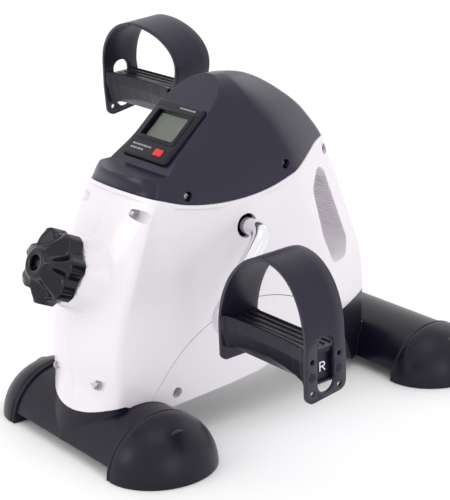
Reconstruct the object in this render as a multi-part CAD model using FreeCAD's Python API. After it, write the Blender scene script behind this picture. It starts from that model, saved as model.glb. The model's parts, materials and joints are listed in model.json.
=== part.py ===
"""Pedal exerciser: a two-part plastic body on two floor bars, with a bent crank, strapped pedals,
a belt-driven flywheel, a screw-adjusted felt brake and a small display.

Millimetres. +X is the user's right, -Y faces the user, +Z is up.  Sizes are laid out from the point on
the floor midway between the two floor bars; every node is then moved along Y by ORIGIN_SHIFT, so that
the origin of the finished part is at the bottom centre of its bounding box.
"""
import FreeCAD, Part
import math
import os

V = FreeCAD.Vector
X_AXIS, Y_AXIS, Z_AXIS = V(1, 0, 0), V(0, 1, 0), V(0, 0, 1)

# ---- driving dimensions -------------------------------------------------------------------------
ORIGIN_SHIFT = 9.7          # the knob stands this much further out in front than the rear bar behind
FOOT_Y = 152.0              # centre line of each floor bar, from the origin
BAR_TOP = 42.0              # height of the D-shaped bar cover
BAR_BOTTOM = 9.0
BAR_HALF_LENGTH = 71.0      # to the rim plane of the end caps
CAP_HEIGHT = 44.0
FLATTEN = 12.0 / 11.0       # half width of every D section over its height
CAP_DOME = 42.0             # how far the dome stands out past the rim
CAP_RIM = 5.0               # width of the raised rim band
TUBE_R, TUBE_Z = 12.7, 25.0         # steel cross tube inside each bar cover
WALL = 2.6                  # moulded wall

AXLE_Y, AXLE_Z = -44.0, 168.0
CRANK_RADIUS = 83.5
CRANK_ANGLE = -134.0        # right crank, from +Y towards +Z
CRANK_ROD_R = 7.0
CRANK_HOLE_R = 10.0
ARM_X = 68.0                # where the rod turns down, at its inner end
ARM_LEAN = 12.0             # how far the arm leans out over its length
SHAFT_R = 8.0
SPINDLE_R = 6.0
RUNNING = 0.05              # radial clearance of a running fit
GAP = 0.3                   # clearance between parts that only pass each other

PEDAL_IN, PEDAL_OUT = 105.0, 204.0
STRAP_T = 2.6
STRAP_HALF = 19.3
STRAP_TOP = 80.0            # above the pedal spindle
STRAP_SPRING = 33.0         # height where the loop leaves the straight end plates

SLOPE_Y, SLOPE_Z = -115.5, 219.0    # foot of the display slope
SLOPE_ANGLE = 42.34
CONSOLE_HALF, CONSOLE_LEN, CONSOLE_T = 28.5, 55.0, 12.0

KNOB_TILT = 23.4            # knob axis above the horizontal
KNOB_Y, KNOB_Z = -190.0, 150.5      # centre of the knob's back face
KNOB_R, KNOB_SKIRT = 32.0, 15.0
KNOB_HUB_R, KNOB_HUB = 11.5, 12.0
KNOB_LOBES = 7
BOSS_LENGTH = 17.0
SCREW_R = 4.0
PAD_TRAVEL = 4.5            # three turns of a 1.5 mm pitch screw

LCD_HALF, LCD_LOW, LCD_HIGH = 20.3, -8.0, 17.5      # display glass on the slope, from its centre
BUTTON = (8.4, 18.4, -22.8, -16.2)                  # reset button, x and up-slope limits
HOLE_Y, HOLE_Z, HOLE_STEP = 12.9, -0.9, 12.3        # adjustment holes in the strap end
STRAP_END = [(-STRAP_HALF, -21.5), (STRAP_HALF, -17.5), (STRAP_HALF, 120.0), (-STRAP_HALF, 120.0)]
WIRE_R = 1.2

FLYWHEEL_R, FLYWHEEL_T = 47.0, 16.0
FLYWHEEL_REACH = 100.0      # along the knob axis, from the knob's back face to the flywheel axle
PULLEY_BIG, PULLEY_SMALL = 45.0, 14.0
PULLEY_X, PULLEY_W = -8.0, 8.0
BELT_T = 2.5
PLATE_X, PLATE_T = 24.0, 3.0

# Plan outline of the body at each height: z, half width and y at the front crease, depth of the
# rounded nose in front of it, half width amidships, y of the rear end.
BODY_ROWS = [
    (9.0, 43.0, -165.5, 31.5, 44.0, 126.0),
    (22.0, 43.5, -165.5, 27.0, 44.5, 126.0),
    (34.0, 43.5, -165.5, 22.5, 44.5, 126.0),
    (47.0, 44.0, -165.5, 18.5, 45.0, 126.0),
    (85.0, 45.0, -165.5, 21.0, 45.0, 125.0),
    (110.0, 45.0, -162.5, 20.5, 45.0, 120.0),
    (150.0, 45.0, -150.0, 21.0, 45.0, 103.0),
    (180.0, 44.0, -139.5, 17.0, 45.0, 90.0),
    (207.0, 42.0, -128.0, 13.5, 44.0, 77.0),
    (219.0, 38.0, -121.5, 18.5, 42.5, 71.0),
    (235.0, 31.0, -107.0, 12.0, 40.0, 58.0),
    (250.0, 29.5, -90.0, 10.0, 36.5, 43.0),
    (262.0, 29.0, -77.0, 9.0, 32.5, 26.0),
    (270.0, 26.0, -68.0, 8.0, 28.0, 13.0),
    (277.0, 20.0, -60.0, 7.0, 21.0, -1.0),
    (281.5, 11.0, -54.0, 5.0, 13.0, -14.0),
    (283.6, 4.0, -45.0, 3.0, 5.5, -26.0),
]
# Side view (y, z) of the line between the white shell and the dark hood, and of the arched joint
# around each lower side cover.
HOOD_SEAM = [(-142.0, 207.5), (-102.6, 195.5), (-58.5, 190.8), (-12.3, 196.0), (9.0, 203.0),
             (28.0, 210.0), (48.0, 216.0), (92.0, 217.0)]
ARCH_SEAM = [(-143.5, 36.0), (-114.6, 70.7), (-71.2, 97.0), (-35.4, 104.0), (11.0, 94.4), (60.0, 66.0)]
# Side view of the underside of the shell, front to back, and of the hand opening in front of the grip.
SHELL_UNDERSIDE = [(-134.0, 40.0), (-132.0, 29.0), (-60.0, 34.5), (-28.0, 38.3), (58.0, 67.5), (140.0, 67.5)]
HAND_OPENING = [(33.0, 182.0), (48.0, 199.0), (59.0, 191.0), (87.0, 126.0), (80.0, 112.0), (56.0, 113.0),
                (43.0, 140.0)]
COLLAR_LOW, COLLAR_HIGH = 34.0, 46.0        # top of the front collar at the middle and at the sides

KNOB_DIR = V(0, -math.cos(math.radians(KNOB_TILT)), math.sin(math.radians(KNOB_TILT)))
KNOB_BACK = V(0, KNOB_Y, KNOB_Z)
MAGNET = AXLE_Y + 7.0, AXLE_Z - 39.5        # y, z of the magnet on the crank pulley
FLY_Y = KNOB_Y - KNOB_DIR.y * FLYWHEEL_REACH
FLY_Z = KNOB_Z - KNOB_DIR.z * FLYWHEEL_REACH


# ---- helpers ------------------------------------------------------------------------------------
def save(name, *shapes):
    """Write one node; several solids become one compound."""
    solids = [s for shape in shapes for s in shape.Solids]
    out = solids[0].copy() if len(solids) == 1 else Part.makeCompound(solids)
    out.translate(V(0, ORIGIN_SHIFT, 0))
    out.exportStep("parts/%s.step" % name)


def box(x0, x1, y0, y1, z0, z1):
    return Part.makeBox(x1 - x0, y1 - y0, z1 - z0, V(x0, y0, z0))


def rod_x(x0, x1, y, z, r):
    return Part.makeCylinder(r, x1 - x0, V(x0, y, z), X_AXIS)


def side_rod(side, near, far, y, z, r):
    """Cylinder along X on one side of the middle plane, given as distances from it."""
    x0, x1 = sorted((side * near, side * far))
    return rod_x(x0, x1, y, z, r)


def ring_x(x0, x1, y, z, r_out, r_in):
    return rod_x(x0, x1, y, z, r_out).cut(rod_x(x0 - 1, x1 + 1, y, z, r_in))


def on_axis(r, start, end, r2=None):
    """Cylinder or cone about the knob axis; distances run outward from the knob's back face."""
    base = KNOB_BACK + KNOB_DIR * start
    if r2 is None:
        return Part.makeCylinder(r, end - start, base, KNOB_DIR)
    return Part.makeCone(r, r2, end - start, base, KNOB_DIR)


def prism_x(points, x0, x1, radius=0.0):
    """Extrude a (y, z) outline along X, with its corners rounded if a radius is given."""
    corners = [V(x0, y, z) for y, z in points]
    if radius:
        edges = rounded_edges(corners, radius)
    else:
        edges = [Part.LineSegment(a, b).toShape() for a, b in zip(corners, corners[1:] + corners[:1])]
    return Part.Face(Part.Wire(edges)).extrude(X_AXIS * (x1 - x0))


def rounded_edges(corners, radius):
    """Closed outline of straight runs joined by tangent arcs."""
    edges, count = [], len(corners)
    arcs = [corner_arc(corners[i - 1], corners[i], corners[(i + 1) % count], radius) for i in range(count)]
    for i, arc in enumerate(arcs):
        edges.append(Part.Arc(*arc).toShape())
        edges.append(Part.LineSegment(arc[2], arcs[(i + 1) % count][0]).toShape())
    return edges


def corner_arc(before, corner, after, radius):
    """Start, middle and end of the arc that rounds a corner."""
    u, w = (before - corner).normalize(), (after - corner).normalize()
    half = u.getAngle(w) / 2
    centre = corner + (u + w).normalize() * (radius / math.sin(half))
    reach = radius / math.tan(half)
    middle = centre + (corner - centre).normalize() * radius
    return corner + u * reach, middle, corner + w * reach


def bent_rod(points, radius, bend):
    """Round rod along straight runs joined by tangent bends."""
    edges, start = [], points[0]
    for before, corner, after in zip(points, points[1:], points[2:]):
        arc = corner_arc(before, corner, after, bend)
        edges += [Part.LineSegment(start, arc[0]).toShape(), Part.Arc(*arc).toShape()]
        start = arc[2]
    edges.append(Part.LineSegment(start, points[-1]).toShape())
    first = points[1] - points[0]
    circle = Part.Wire(Part.makeCircle(radius, points[0], first))
    return Part.Wire(edges).makePipeShell([circle], True, False)


def spline(points):
    smooth = Part.BSplineCurve()
    smooth.interpolate(Points=points)
    return smooth.toShape()


def curve(*points):
    """One Bezier edge."""
    bezier = Part.BezierCurve()
    bezier.setPoles(list(points))
    return bezier.toShape()


def quarter(start, end, corner):
    """Quarter of an ellipse between two points, bulging towards the corner where its tangents meet."""
    pull = 0.5523
    return curve(start, start + (corner - start) * pull, end + (corner - end) * pull, end)


# ---- body ---------------------------------------------------------------------------------------
def body_section(row, inset):
    """Closed plan outline at one height: nose, two straight sides, two tapers and a rounded rear."""
    z, crease_w, crease_y, nose, width, rear = row
    crease_w, width, rear = crease_w - inset, width - inset, rear - inset
    crease_y, nose = crease_y + 0.3 * inset, nose - 0.7 * inset
    scale = width / 45.0
    turn = math.radians(59.7)
    tip_r = 16.0 * scale
    front = V(0, crease_y - nose, z)
    crease = V(crease_w, crease_y, z)
    shoulder = V(width, rear - 74.0 * scale, z)
    third = (shoulder.y - crease_y) / 3.0
    tip = V(tip_r * math.sin(turn), rear - tip_r * (1 - math.cos(turn)), z)
    slant = V(-math.cos(turn), math.sin(turn), 0)
    back = V(0, rear, z)
    right = [
        quarter(front, crease, V(crease_w, front.y, z)),
        curve(crease, V(width - 0.35 * (width - crease_w), crease_y + third, z),
              shoulder - Y_AXIS * third, shoulder),
        curve(shoulder, shoulder + Y_AXIS * (10.0 * scale), tip - slant * (34.0 * scale), tip),
        curve(tip, tip + slant * (0.37 * tip_r), back + X_AXIS * (0.37 * tip_r), back),
    ]
    left = [edge.mirror(V(0, 0, 0), X_AXIS) for edge in reversed(right)]
    return Part.Wire(right + left)


def body_solid(inset):
    return Part.makeLoft([body_section(row, inset) for row in BODY_ROWS], True, False)


def under_curve(points, x0, x1, floor=-50.0):
    """Everything below a smooth (y, z) curve, between two X planes."""
    top = spline([V(x0, y, z) for y, z in points])
    first, last = points[0], points[-1]
    ends = [V(x0, last[0], last[1]), V(x0, last[0], floor), V(x0, first[0], floor), V(x0, first[0], first[1])]
    lines = [Part.LineSegment(a, b).toShape() for a, b in zip(ends, ends[1:])]
    return Part.Face(Part.Wire([top] + lines)).extrude(X_AXIS * (x1 - x0))


def shifted(points, dz):
    return [(y, z + dz) for y, z in points]


def collar_zone(dz=0.0):
    """The space below the top line of the front collar, which dips at the middle."""
    side = 60.0
    rise = (COLLAR_HIGH - COLLAR_LOW) * (side / BODY_ROWS[3][1]) ** 2
    left, right = V(-side, -240, COLLAR_LOW + rise + dz), V(side, -240, COLLAR_LOW + rise + dz)
    arc = Part.Arc(left, V(0, -240, COLLAR_LOW + dz), right).toShape()
    corners = [right, V(side, -240, -50), V(-side, -240, -50), left]
    lines = [Part.LineSegment(a, b).toShape() for a, b in zip(corners, corners[1:])]
    return Part.Face(Part.Wire([arc] + lines)).extrude(Y_AXIS * 106.0)


def underside(dz=0.0):
    """What the shell leaves open below: the front collar, the arched belly and the rear collar."""
    outline = shifted(SHELL_UNDERSIDE, dz) + [(140.0, -50.0), (-134.0, -50.0)]
    around_bar = half_round(-70, 70, BAR_TOP + GAP, 0.0)
    return prism_x(outline, -70, 70).fuse([collar_zone(dz), widen(around_bar, -FOOT_Y)])


def above_slope(offset=0.0):
    """The space in front of and above the display slope and the shelf below it."""
    rise = 100.0
    run = rise / math.tan(math.radians(SLOPE_ANGLE))
    z = SLOPE_Z + offset
    return prism_x([(-260, z), (SLOPE_Y, z), (SLOPE_Y + run, z + rise), (-260, z + rise)], -70, 70)


def slope_point(x, up, out):
    """A point on the display slope: x across, up along the slope from the display's centre, out of it."""
    a = math.radians(SLOPE_ANGLE)
    centre_up, proud = 34.3, 1.5
    y = SLOPE_Y + (centre_up + up) * math.cos(a) - (proud + out) * math.sin(a)
    z = SLOPE_Z + (centre_up + up) * math.sin(a) + (proud + out) * math.cos(a)
    return V(x, y, z)


def slope_box(x0, x1, up0, up1, out0, out1, radius=0.0):
    """Box squared to the display slope, with its four standing edges rounded if a radius is given."""
    block = box(x0, x1, up0, up1, out0, out1)
    if radius:
        block = block.makeFillet(radius, [e for e in block.Edges if abs(e.tangentAt(0).z) > 0.9])
    block.rotate(V(0, 0, 0), X_AXIS, SLOPE_ANGLE)
    block.translate(slope_point(0, 0, 0))
    return block


def knob_boss(r_gap=0.0):
    return on_axis(38.0 - r_gap, -45.0, -BOSS_LENGTH + 15.5, 28.0 - r_gap)


# y, z and |x| of the recess floor of each pair of screws
HOUSING_SCREWS = [(-141.5, 192.0, 27.0), (-180.0, 60.0, 27.0), (68.0, 206.0, 8.0)]
COVER_SCREWS = [(-113.7, 41.1, 38.5), (22.0, 68.0, 38.5)]
HOOD_SCREWS = [(-100.9, 201.6, 38.5), (-0.9, 210.7, 37.5)]
RECESS_R, SCREW_HEAD_R, SHANK_R = 4.5, 3.4, 1.6


def build_body():
    outer = body_solid(0.0).fuse(knob_boss())
    inner = body_solid(WALL).fuse(knob_boss(WALL).cut(on_axis(60, -BOSS_LENGTH + 12.0, 5)))
    opening = prism_x(HAND_OPENING, -70, 70, 9.0)
    wall_around = prism_x(HAND_OPENING, -70, 70, 9.0).makeOffsetShape(WALL, 0.01)
    under, over = underside(), above_slope()
    seam = under_curve([(-260, 208)] + HOOD_SEAM + [(200, 217)], -70, 70)
    whole = outer.cut(under).cut(over).cut(opening)
    hollow = inner.cut(above_slope(-WALL * 1.35)).cut(wall_around)
    shell = whole.cut(hollow)
    posts, holes = [], []
    for y, z, floor in HOUSING_SCREWS + HOOD_SCREWS + COVER_SCREWS:
        for side in (-1, 1):
            posts.append(side_rod(side, floor - WALL, 60.0, y, z, 7.0).common(whole))
            holes.append(side_rod(side, floor, 60.0, y, z, RECESS_R))
            holes.append(side_rod(side, floor - 9.0, floor + 1.0, y, z, SHANK_R))
    shell = shell.fuse(posts)
    crank_bore = rod_x(-70, 70, AXLE_Y, AXLE_Z, CRANK_HOLE_R)
    knob_bore = on_axis(SCREW_R + 1.0, -60, 10)
    shell = shell.cut(holes + [crank_bore, knob_bore])
    save_body(shell, seam)


def save_body(shell, seam):
    console_pocket = slope_box(-CONSOLE_HALF - GAP, CONSOLE_HALF + GAP, -CONSOLE_LEN / 2 - GAP,
                               CONSOLE_LEN / 2 + GAP, -CONSOLE_T - 8, 10, 3.0)
    hood = shell.cut(seam).cut(console_pocket)
    white = shell.common(under_curve(shifted([(-260, 208)] + HOOD_SEAM + [(200, 217)], -0.15), -70, 70))
    for side, name in ((-1, "left"), (1, "right")):
        half = white.common(box(*sorted((0.0, side * 80.0)), -260, 160, -10, 300))
        outside = sorted((side * 26.0, side * 80.0))
        below = under_curve(ARCH_SEAM, outside[0], outside[1])
        cover = half.common(under_curve(shifted(ARCH_SEAM, -0.4), outside[0], outside[1]))
        save("%s_housing" % name, largest(half.cut(below)))
        save("%s_side_cover" % name, largest(cover))
    save("hood", largest(hood))


def build_screws():
    for name, group in (("housing_screws", HOUSING_SCREWS), ("hood_screws", HOOD_SCREWS),
                        ("cover_screws", COVER_SCREWS)):
        save(name, *[screw(side, *place) for place in group for side in (-1, 1)])


def screw(side, y, z, floor):
    head = side_rod(side, floor, floor + 2.2, y, z, SCREW_HEAD_R)
    return head.fuse(side_rod(side, floor - 8.0, floor + 0.1, y, z, SHANK_R))


def largest(shape):
    return max(shape.Solids, key=lambda s: s.Volume)


# ---- floor bars ---------------------------------------------------------------------------------
def widen(shape, y):
    """Stretch a half-round shape in Y to its true D section and move it to its bar."""
    grow = FreeCAD.Matrix()
    grow.scale(V(1, FLATTEN, 1))
    wide = shape.transformGeometry(grow)
    wide.translate(V(0, y, 0))
    return wide


def half_round(x0, x1, top, bottom):
    return rod_x(x0, x1, 0, 0, top).common(box(x0, x1, -80, 80, bottom, 90))


def d_bar(x0, x1, y, top, bottom):
    return widen(half_round(x0, x1, top, bottom), y)


def d_outline(x, height):
    """Closed D outline across X, flat on the floor plane, about y = 0."""
    half = height * FLATTEN
    left, top, right = V(x, -half, 0), V(x, 0, height), V(x, half, 0)
    return Part.Wire([quarter(left, top, V(x, -half, height)), quarter(top, right, V(x, half, height)),
                      Part.LineSegment(right, left).toShape()])


def half_dome(side, near, far, height, reach, bottom=0.0):
    """D-section cap along X: a short straight rim from near to far, then a dome of the given reach."""
    rim = Part.Face(d_outline(side * near, height)).extrude(X_AXIS * side * (far - near))
    turns = [math.radians(14.5 * i) for i in range(7)]
    dome = Part.makeLoft([d_outline(side * (far + reach * math.sin(a)), height * math.cos(a)) for a in turns],
                         True, False)
    return rim.fuse(dome).cut(box(-200, 200, -80, 80, -1, bottom)) if bottom else rim.fuse(dome)


def build_floor_bars():
    for end, name in ((-1, "front"), (1, "rear")):
        y = end * FOOT_Y
        cover = d_bar(-BAR_HALF_LENGTH, BAR_HALF_LENGTH, y, BAR_TOP, BAR_BOTTOM)
        cavity = d_bar(-BAR_HALF_LENGTH - 1, BAR_HALF_LENGTH + 1, y, BAR_TOP - WALL, BAR_BOTTOM + WALL)
        if end < 0:
            zone = collar_zone(-0.15).common(box(-70, 70, -240, -134.2, BAR_BOTTOM, 60))
            collar = body_solid(0.0).common(zone)
            hollow = body_solid(WALL).common(box(-70, 70, -240, -130, BAR_BOTTOM + WALL, 60))
        else:
            zone = prism_x([(59, 67.3), (130, 67.3), (130, 38), (118, BAR_BOTTOM), (97, BAR_BOTTOM)], -70, 70)
            collar = body_solid(0.0).common(zone)
            floor = BAR_BOTTOM + WALL
            thin = prism_x([(62, 70), (130, 70), (130, 38), (118, floor), (100, floor)], -70, 70)
            hollow = body_solid(WALL).common(thin)
        cover = largest(cover.fuse(collar).cut(cavity.fuse(hollow)))
        save("%s_bar_cover" % name, cover.cut(frame_passage(end)))
        tube = rod_x(-BAR_HALF_LENGTH - 24, BAR_HALF_LENGTH + 24, y, TUBE_Z, TUBE_R)
        save("%s_cross_tube" % name, tube.cut(rod_x(-120, 120, y, TUBE_Z, TUBE_R - 1.5)))
        for side, hand in ((-1, "left"), (1, "right")):
            save("%s_%s_end_cap" % (name, hand), end_cap(side, y))


def end_cap(side, y):
    """Domed cap: its rim slips over the bar cover, and a tube inside it grips the cross tube."""
    rim, shell = BAR_HALF_LENGTH, 4.0
    cap = half_dome(side, rim - CAP_RIM, rim, CAP_HEIGHT, CAP_DOME)
    hollow = half_dome(side, rim - 1, rim, CAP_HEIGHT - shell, CAP_DOME - shell, shell)
    socket_span = sorted((side * (rim - CAP_RIM - 1), side * rim))
    cap = cap.cut(d_bar(*socket_span, 0.0, BAR_TOP, BAR_BOTTOM)).cut(hollow)
    grip = side_rod(side, rim + 0.4, rim + 26.0, 0.0, TUBE_Z, TUBE_R + 1.8)
    cap = largest(cap.fuse(grip).cut(side_rod(side, rim - 1, rim + 24, 0.0, TUBE_Z, TUBE_R)))
    cap.translate(V(0, y, 0))
    return cap


# ---- steel frame --------------------------------------------------------------------------------
def frame_blocks(grow=0.0):
    """Spine beam of the frame: level along the body, stepped down to the rear cross tube."""
    g = grow
    return [box(-15 - g, 15 + g, -162, 96 + g, 44 - g, 62 + g),
            box(-10 - g, 10 + g, 95 - g, 109 + g, 16 - g, 62 + g),
            box(-10 - g, 10 + g, 95 - g, FOOT_Y, 16 - g, 34 + g)]


def frame_passage(end):
    blocks = frame_blocks(0.5)
    if end < 0:
        return blocks[0].fuse(box(-15.5, 15.5, -FOOT_Y - 13.5, -FOOT_Y + 13.5, 20, 50))
    return blocks[0].fuse(blocks[1:])


def build_frame():
    tubes = rod_x(-40, 40, -FOOT_Y, TUBE_Z, TUBE_R).fuse(rod_x(-40, 40, FOOT_Y, TUBE_Z, TUBE_R))
    saddle = box(-15, 15, -FOOT_Y - 12, -FOOT_Y + 12, 30, 46)
    blocks = frame_blocks()
    spine = blocks[0].fuse(blocks[1:] + [saddle]).cut(tubes)
    spine = spine.cut(box(-13, 13, -160, 94, 46, 60))
    save("main_frame", spine)
    outline = [(-136, 62), (-14, 62), (-24, 176), (-44, 194), (-64, 178), (-112, 146), (-140, 128)]
    for side, name in ((-1, "left"), (1, "right")):
        span = sorted((side * PLATE_X, side * (PLATE_X + PLATE_T)))
        plate = prism_x(outline, span[0], span[1], 8.0)
        foot_span = sorted((side * 15.0, side * (PLATE_X + PLATE_T)))
        flange = box(foot_span[0], foot_span[1], -128, -20, 59, 62)
        plate = plate.fuse([flange, box(*span, -128, -20, 59, 70)])
        plate = plate.cut([rod_x(-60, 60, AXLE_Y, AXLE_Z, 14.0), rod_x(-60, 60, FLY_Y, FLY_Z, 5.0)])
        save("%s_side_plate" % name, plate.removeSplitter())
    bores = [sorted((s * 21.0, s * 29.0)) for s in (-1, 1)]
    save("crank_bearings", *[ring_x(*span, AXLE_Y, AXLE_Z, 14.0, SHAFT_R + RUNNING) for span in bores])
    save("flywheel_axle", rod_x(-30, 30, FLY_Y, FLY_Z, 5.0))
    nuts = [sorted((s * (PLATE_X + PLATE_T), s * 30.0)) for s in (-1, 1)]
    save("flywheel_axle_nuts", *[hex_x(*span, FLY_Y, FLY_Z, 8.0, 5.0) for span in nuts])


def hex_x(x0, x1, y, z, across, bore):
    points = [(y + across * math.cos(math.radians(a)), z + across * math.sin(math.radians(a)))
              for a in range(0, 360, 60)]
    return prism_x(points, x0, x1).cut(rod_x(x0 - 1, x1 + 1, y, z, bore))


# ---- crank, pulleys and flywheel ----------------------------------------------------------------
def crank_end(side):
    """Where the spindle of one pedal lies; the left crank is opposite the right one."""
    a = math.radians(CRANK_ANGLE if side > 0 else CRANK_ANGLE + 180)
    return AXLE_Y + CRANK_RADIUS * math.cos(a), AXLE_Z + CRANK_RADIUS * math.sin(a)


def build_crank():
    save("crank_shaft", rod_x(-32, 32, AXLE_Y, AXLE_Z, SHAFT_R))
    for side, name in ((-1, "left"), (1, "right")):
        y, z = crank_end(side)
        shoulder = PEDAL_IN - 3.0
        points = [V(side * 32, AXLE_Y, AXLE_Z), V(side * ARM_X, AXLE_Y, AXLE_Z),
                  V(side * (ARM_X + ARM_LEAN), y, z), V(side * shoulder, y, z)]
        arm = bent_rod(points, CRANK_ROD_R, 12.0)
        spindle = rod_x(*sorted((side * (shoulder - 1), side * 189.0)), y, z, SPINDLE_R)
        save("%s_crank" % name, arm.fuse(spindle).removeSplitter())
        save("%s_spindle_clip" % name, ring_x(*sorted((side * 185.0, side * 187.5)), y, z, 8.5, SPINDLE_R))
    half = PULLEY_W / 2
    disc = rod_x(PULLEY_X - half, PULLEY_X + half, AXLE_Y, AXLE_Z, PULLEY_BIG)
    flanges = [rod_x(PULLEY_X + s * (half + 0.5) - 0.6, PULLEY_X + s * (half + 0.5) + 0.6, AXLE_Y, AXLE_Z,
                     PULLEY_BIG + 3.0) for s in (-1, 1)]
    hub = rod_x(-16, 6, AXLE_Y, AXLE_Z, 15.0)
    windows = [rod_x(-30, 30, AXLE_Y + 27 * math.cos(a), AXLE_Z + 27 * math.sin(a), 8.0)
               for a in (math.radians(60 * i) for i in range(6))]
    pulley = disc.fuse(flanges + [hub]).cut(windows + [rod_x(-30, 30, AXLE_Y, AXLE_Z, SHAFT_R)])
    magnet = rod_x(-16.0, PULLEY_X, *MAGNET, 3.0)
    save("crank_pulley", pulley.cut(magnet).removeSplitter())
    save("sensor_magnet", magnet)
    save("drive_belt", belt())
    build_flywheel()


def belt():
    """Flat belt around both pulleys, with a little room under it."""
    big, small = V(PULLEY_X, AXLE_Y, AXLE_Z), V(PULLEY_X, FLY_Y, FLY_Z)
    loops = [loop_prism(big, PULLEY_BIG + lift, small, PULLEY_SMALL + lift) for lift in (GAP + BELT_T, GAP)]
    return loops[0].cut(loops[1])


def loop_prism(big, r_big, small, r_small, width=7.0):
    """The convex outline of two circles, extruded across a pulley's width."""
    span = small - big
    base = math.atan2(span.z, span.y)
    lean = math.acos((r_big - r_small) / span.Length)
    touch = [(c.y + r * math.cos(base + s * lean), c.z + r * math.sin(base + s * lean))
             for c, r, s in ((big, r_big, 1), (small, r_small, 1), (small, r_small, -1), (big, r_big, -1))]
    x0, x1 = PULLEY_X - width / 2, PULLEY_X + width / 2
    discs = [rod_x(x0, x1, c.y, c.z, r) for c, r in ((big, r_big), (small, r_small))]
    return prism_x(touch, x0, x1).fuse(discs).removeSplitter()


def build_flywheel():
    half = PULLEY_W / 2
    bore = rod_x(-60, 60, FLY_Y, FLY_Z, 9.0)
    wheel = rod_x(3, 3 + FLYWHEEL_T, FLY_Y, FLY_Z, FLYWHEEL_R)
    for x0, x1 in ((2, 7), (15, 20)):
        wheel = wheel.cut(ring_x(x0, x1, FLY_Y, FLY_Z, 36.0, 17.0))
    save("flywheel", wheel.cut(bore))
    small = rod_x(PULLEY_X - half, 3, FLY_Y, FLY_Z, PULLEY_SMALL)
    flanges = [rod_x(x - 0.6, x + 0.6, FLY_Y, FLY_Z, PULLEY_SMALL + 3.0)
               for x in (PULLEY_X - half - 0.5, PULLEY_X + half + 0.5)]
    save("flywheel_pulley", small.fuse(flanges).cut(bore).removeSplitter())
    spans = (-12, -5), (12, 19)
    save("flywheel_bearings", *[ring_x(x0, x1, FLY_Y, FLY_Z, 9.0, 5.0 + RUNNING) for x0, x1 in spans])


# ---- brake --------------------------------------------------------------------------------------
def build_brake():
    skirt = on_axis(KNOB_R, 0, KNOB_SKIRT)
    across = KNOB_DIR.cross(X_AXIS)
    scoops = []
    for i in range(KNOB_LOBES):
        a = 2 * math.pi * i / KNOB_LOBES
        centre = KNOB_BACK - KNOB_DIR * 5 + (X_AXIS * math.sin(a) + across * math.cos(a)) * (KNOB_R + 8.5)
        scoops.append(Part.makeCylinder(13.0, 60, centre, KNOB_DIR))
    hub = on_axis(KNOB_R - 4.0, KNOB_SKIRT, KNOB_SKIRT + KNOB_HUB, KNOB_HUB_R)
    knob = skirt.fuse(hub).cut(scoops)
    knob = knob.cut([on_axis(6.0, KNOB_SKIRT + KNOB_HUB - 5, 60), on_axis(SCREW_R, -1, 12)])
    save("tension_knob", largest(knob))
    pad = FLYWHEEL_R - FLYWHEEL_REACH + 0.5 + PAD_TRAVEL
    save("tension_screw", on_axis(SCREW_R, pad - 1, 12).fuse(on_axis(7.0, -27.8, -24.8)))
    plate = axis_box(-30, 30, 11, -31, -28)
    wings = [axis_box(*sorted((s * (PLATE_X + PLATE_T), s * 30.0)), 9, -80, -28) for s in (-1, 1)]
    bracket = plate.fuse(wings).cut(on_axis(SCREW_R + RUNNING, -40, -10))
    save("brake_bracket", bracket.removeSplitter())
    carriage = axis_box(-9, 20, 8, pad + 5, pad + 14)
    save("brake_carriage", carriage.cut(on_axis(SCREW_R + RUNNING, -60, -10)))
    save("brake_pad", axis_box(4.5, 18, 7.5, pad, pad + 5))


def axis_box(x0, x1, half, start, end):
    """Block squared to the knob axis; start and end run outward from the knob's back face."""
    block = box(x0, x1, -end, -start, -half, half)
    block.rotate(V(0, 0, 0), X_AXIS, -KNOB_TILT)
    block.translate(KNOB_BACK)
    return block


# ---- display and sensor -------------------------------------------------------------------------
def build_console():
    half = CONSOLE_LEN / 2
    case = slope_box(-CONSOLE_HALF, CONSOLE_HALF, -half, half, -CONSOLE_T, 0, 3.0)
    case = case.cut(slope_box(-LCD_HALF, LCD_HALF, LCD_LOW, LCD_HIGH, -4.5, 1, 1.0))
    case = case.cut(slope_box(-CONSOLE_HALF + 2, CONSOLE_HALF - 2, -half + 2, half - 2, -CONSOLE_T - 1, -6))
    case = case.cut(slope_box(BUTTON[0] - GAP, BUTTON[1] + GAP, BUTTON[2] - GAP, BUTTON[3] + GAP, -8, 1, 1.0))
    save("console_case", case)
    save("lcd_panel", slope_box(-LCD_HALF, LCD_HALF, LCD_LOW, LCD_HIGH, -4.5, -3.0, 1.0))
    save("lcd_window", slope_box(-LCD_HALF, LCD_HALF, LCD_LOW, LCD_HIGH, -1.0, -0.2, 1.0))
    save("reset_button", slope_box(*BUTTON, -4.6, 1.2, 0.8))
    save("circuit_board", slope_box(-24, 24, -22, 22, -8.2, -6.8))
    cell = Part.makeCylinder(9.5, 3.2, V(9, 4, -11.4))
    cell.rotate(V(0, 0, 0), X_AXIS, SLOPE_ANGLE)
    cell.translate(slope_point(0, 0, 0))
    save("battery", cell)


def build_sensor():
    y, z = MAGNET
    save("cadence_sensor", box(-PLATE_X, -18.5, y - 4, y + 4, z - 4, z + 5))
    end = slope_point(-12, -6, -CONSOLE_T + 2)
    route = [V(-21, y, z + 5), V(-21, y, 142), V(-19, -66, 158), V(-19, -68, 195),
             V(-16, end.y + 8, end.z - 12), end]
    save("sensor_wire", bent_rod(route, WIRE_R, 5.0))


# ---- pedals -------------------------------------------------------------------------------------
# Pedal section at each distance along the spindle: x, half width of the tread, height of the underside.
PEDAL_ROWS = [(PEDAL_IN + STRAP_T, 18.5, -13.0), (126.0, 15.5, -10.5), (154.0, 14.5, -9.5),
              (182.0, 15.5, -9.5), (PEDAL_OUT - STRAP_T, 18.5, -9.5)]
TREAD_TOP, RIDGE = 18.5, 21.0


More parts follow.
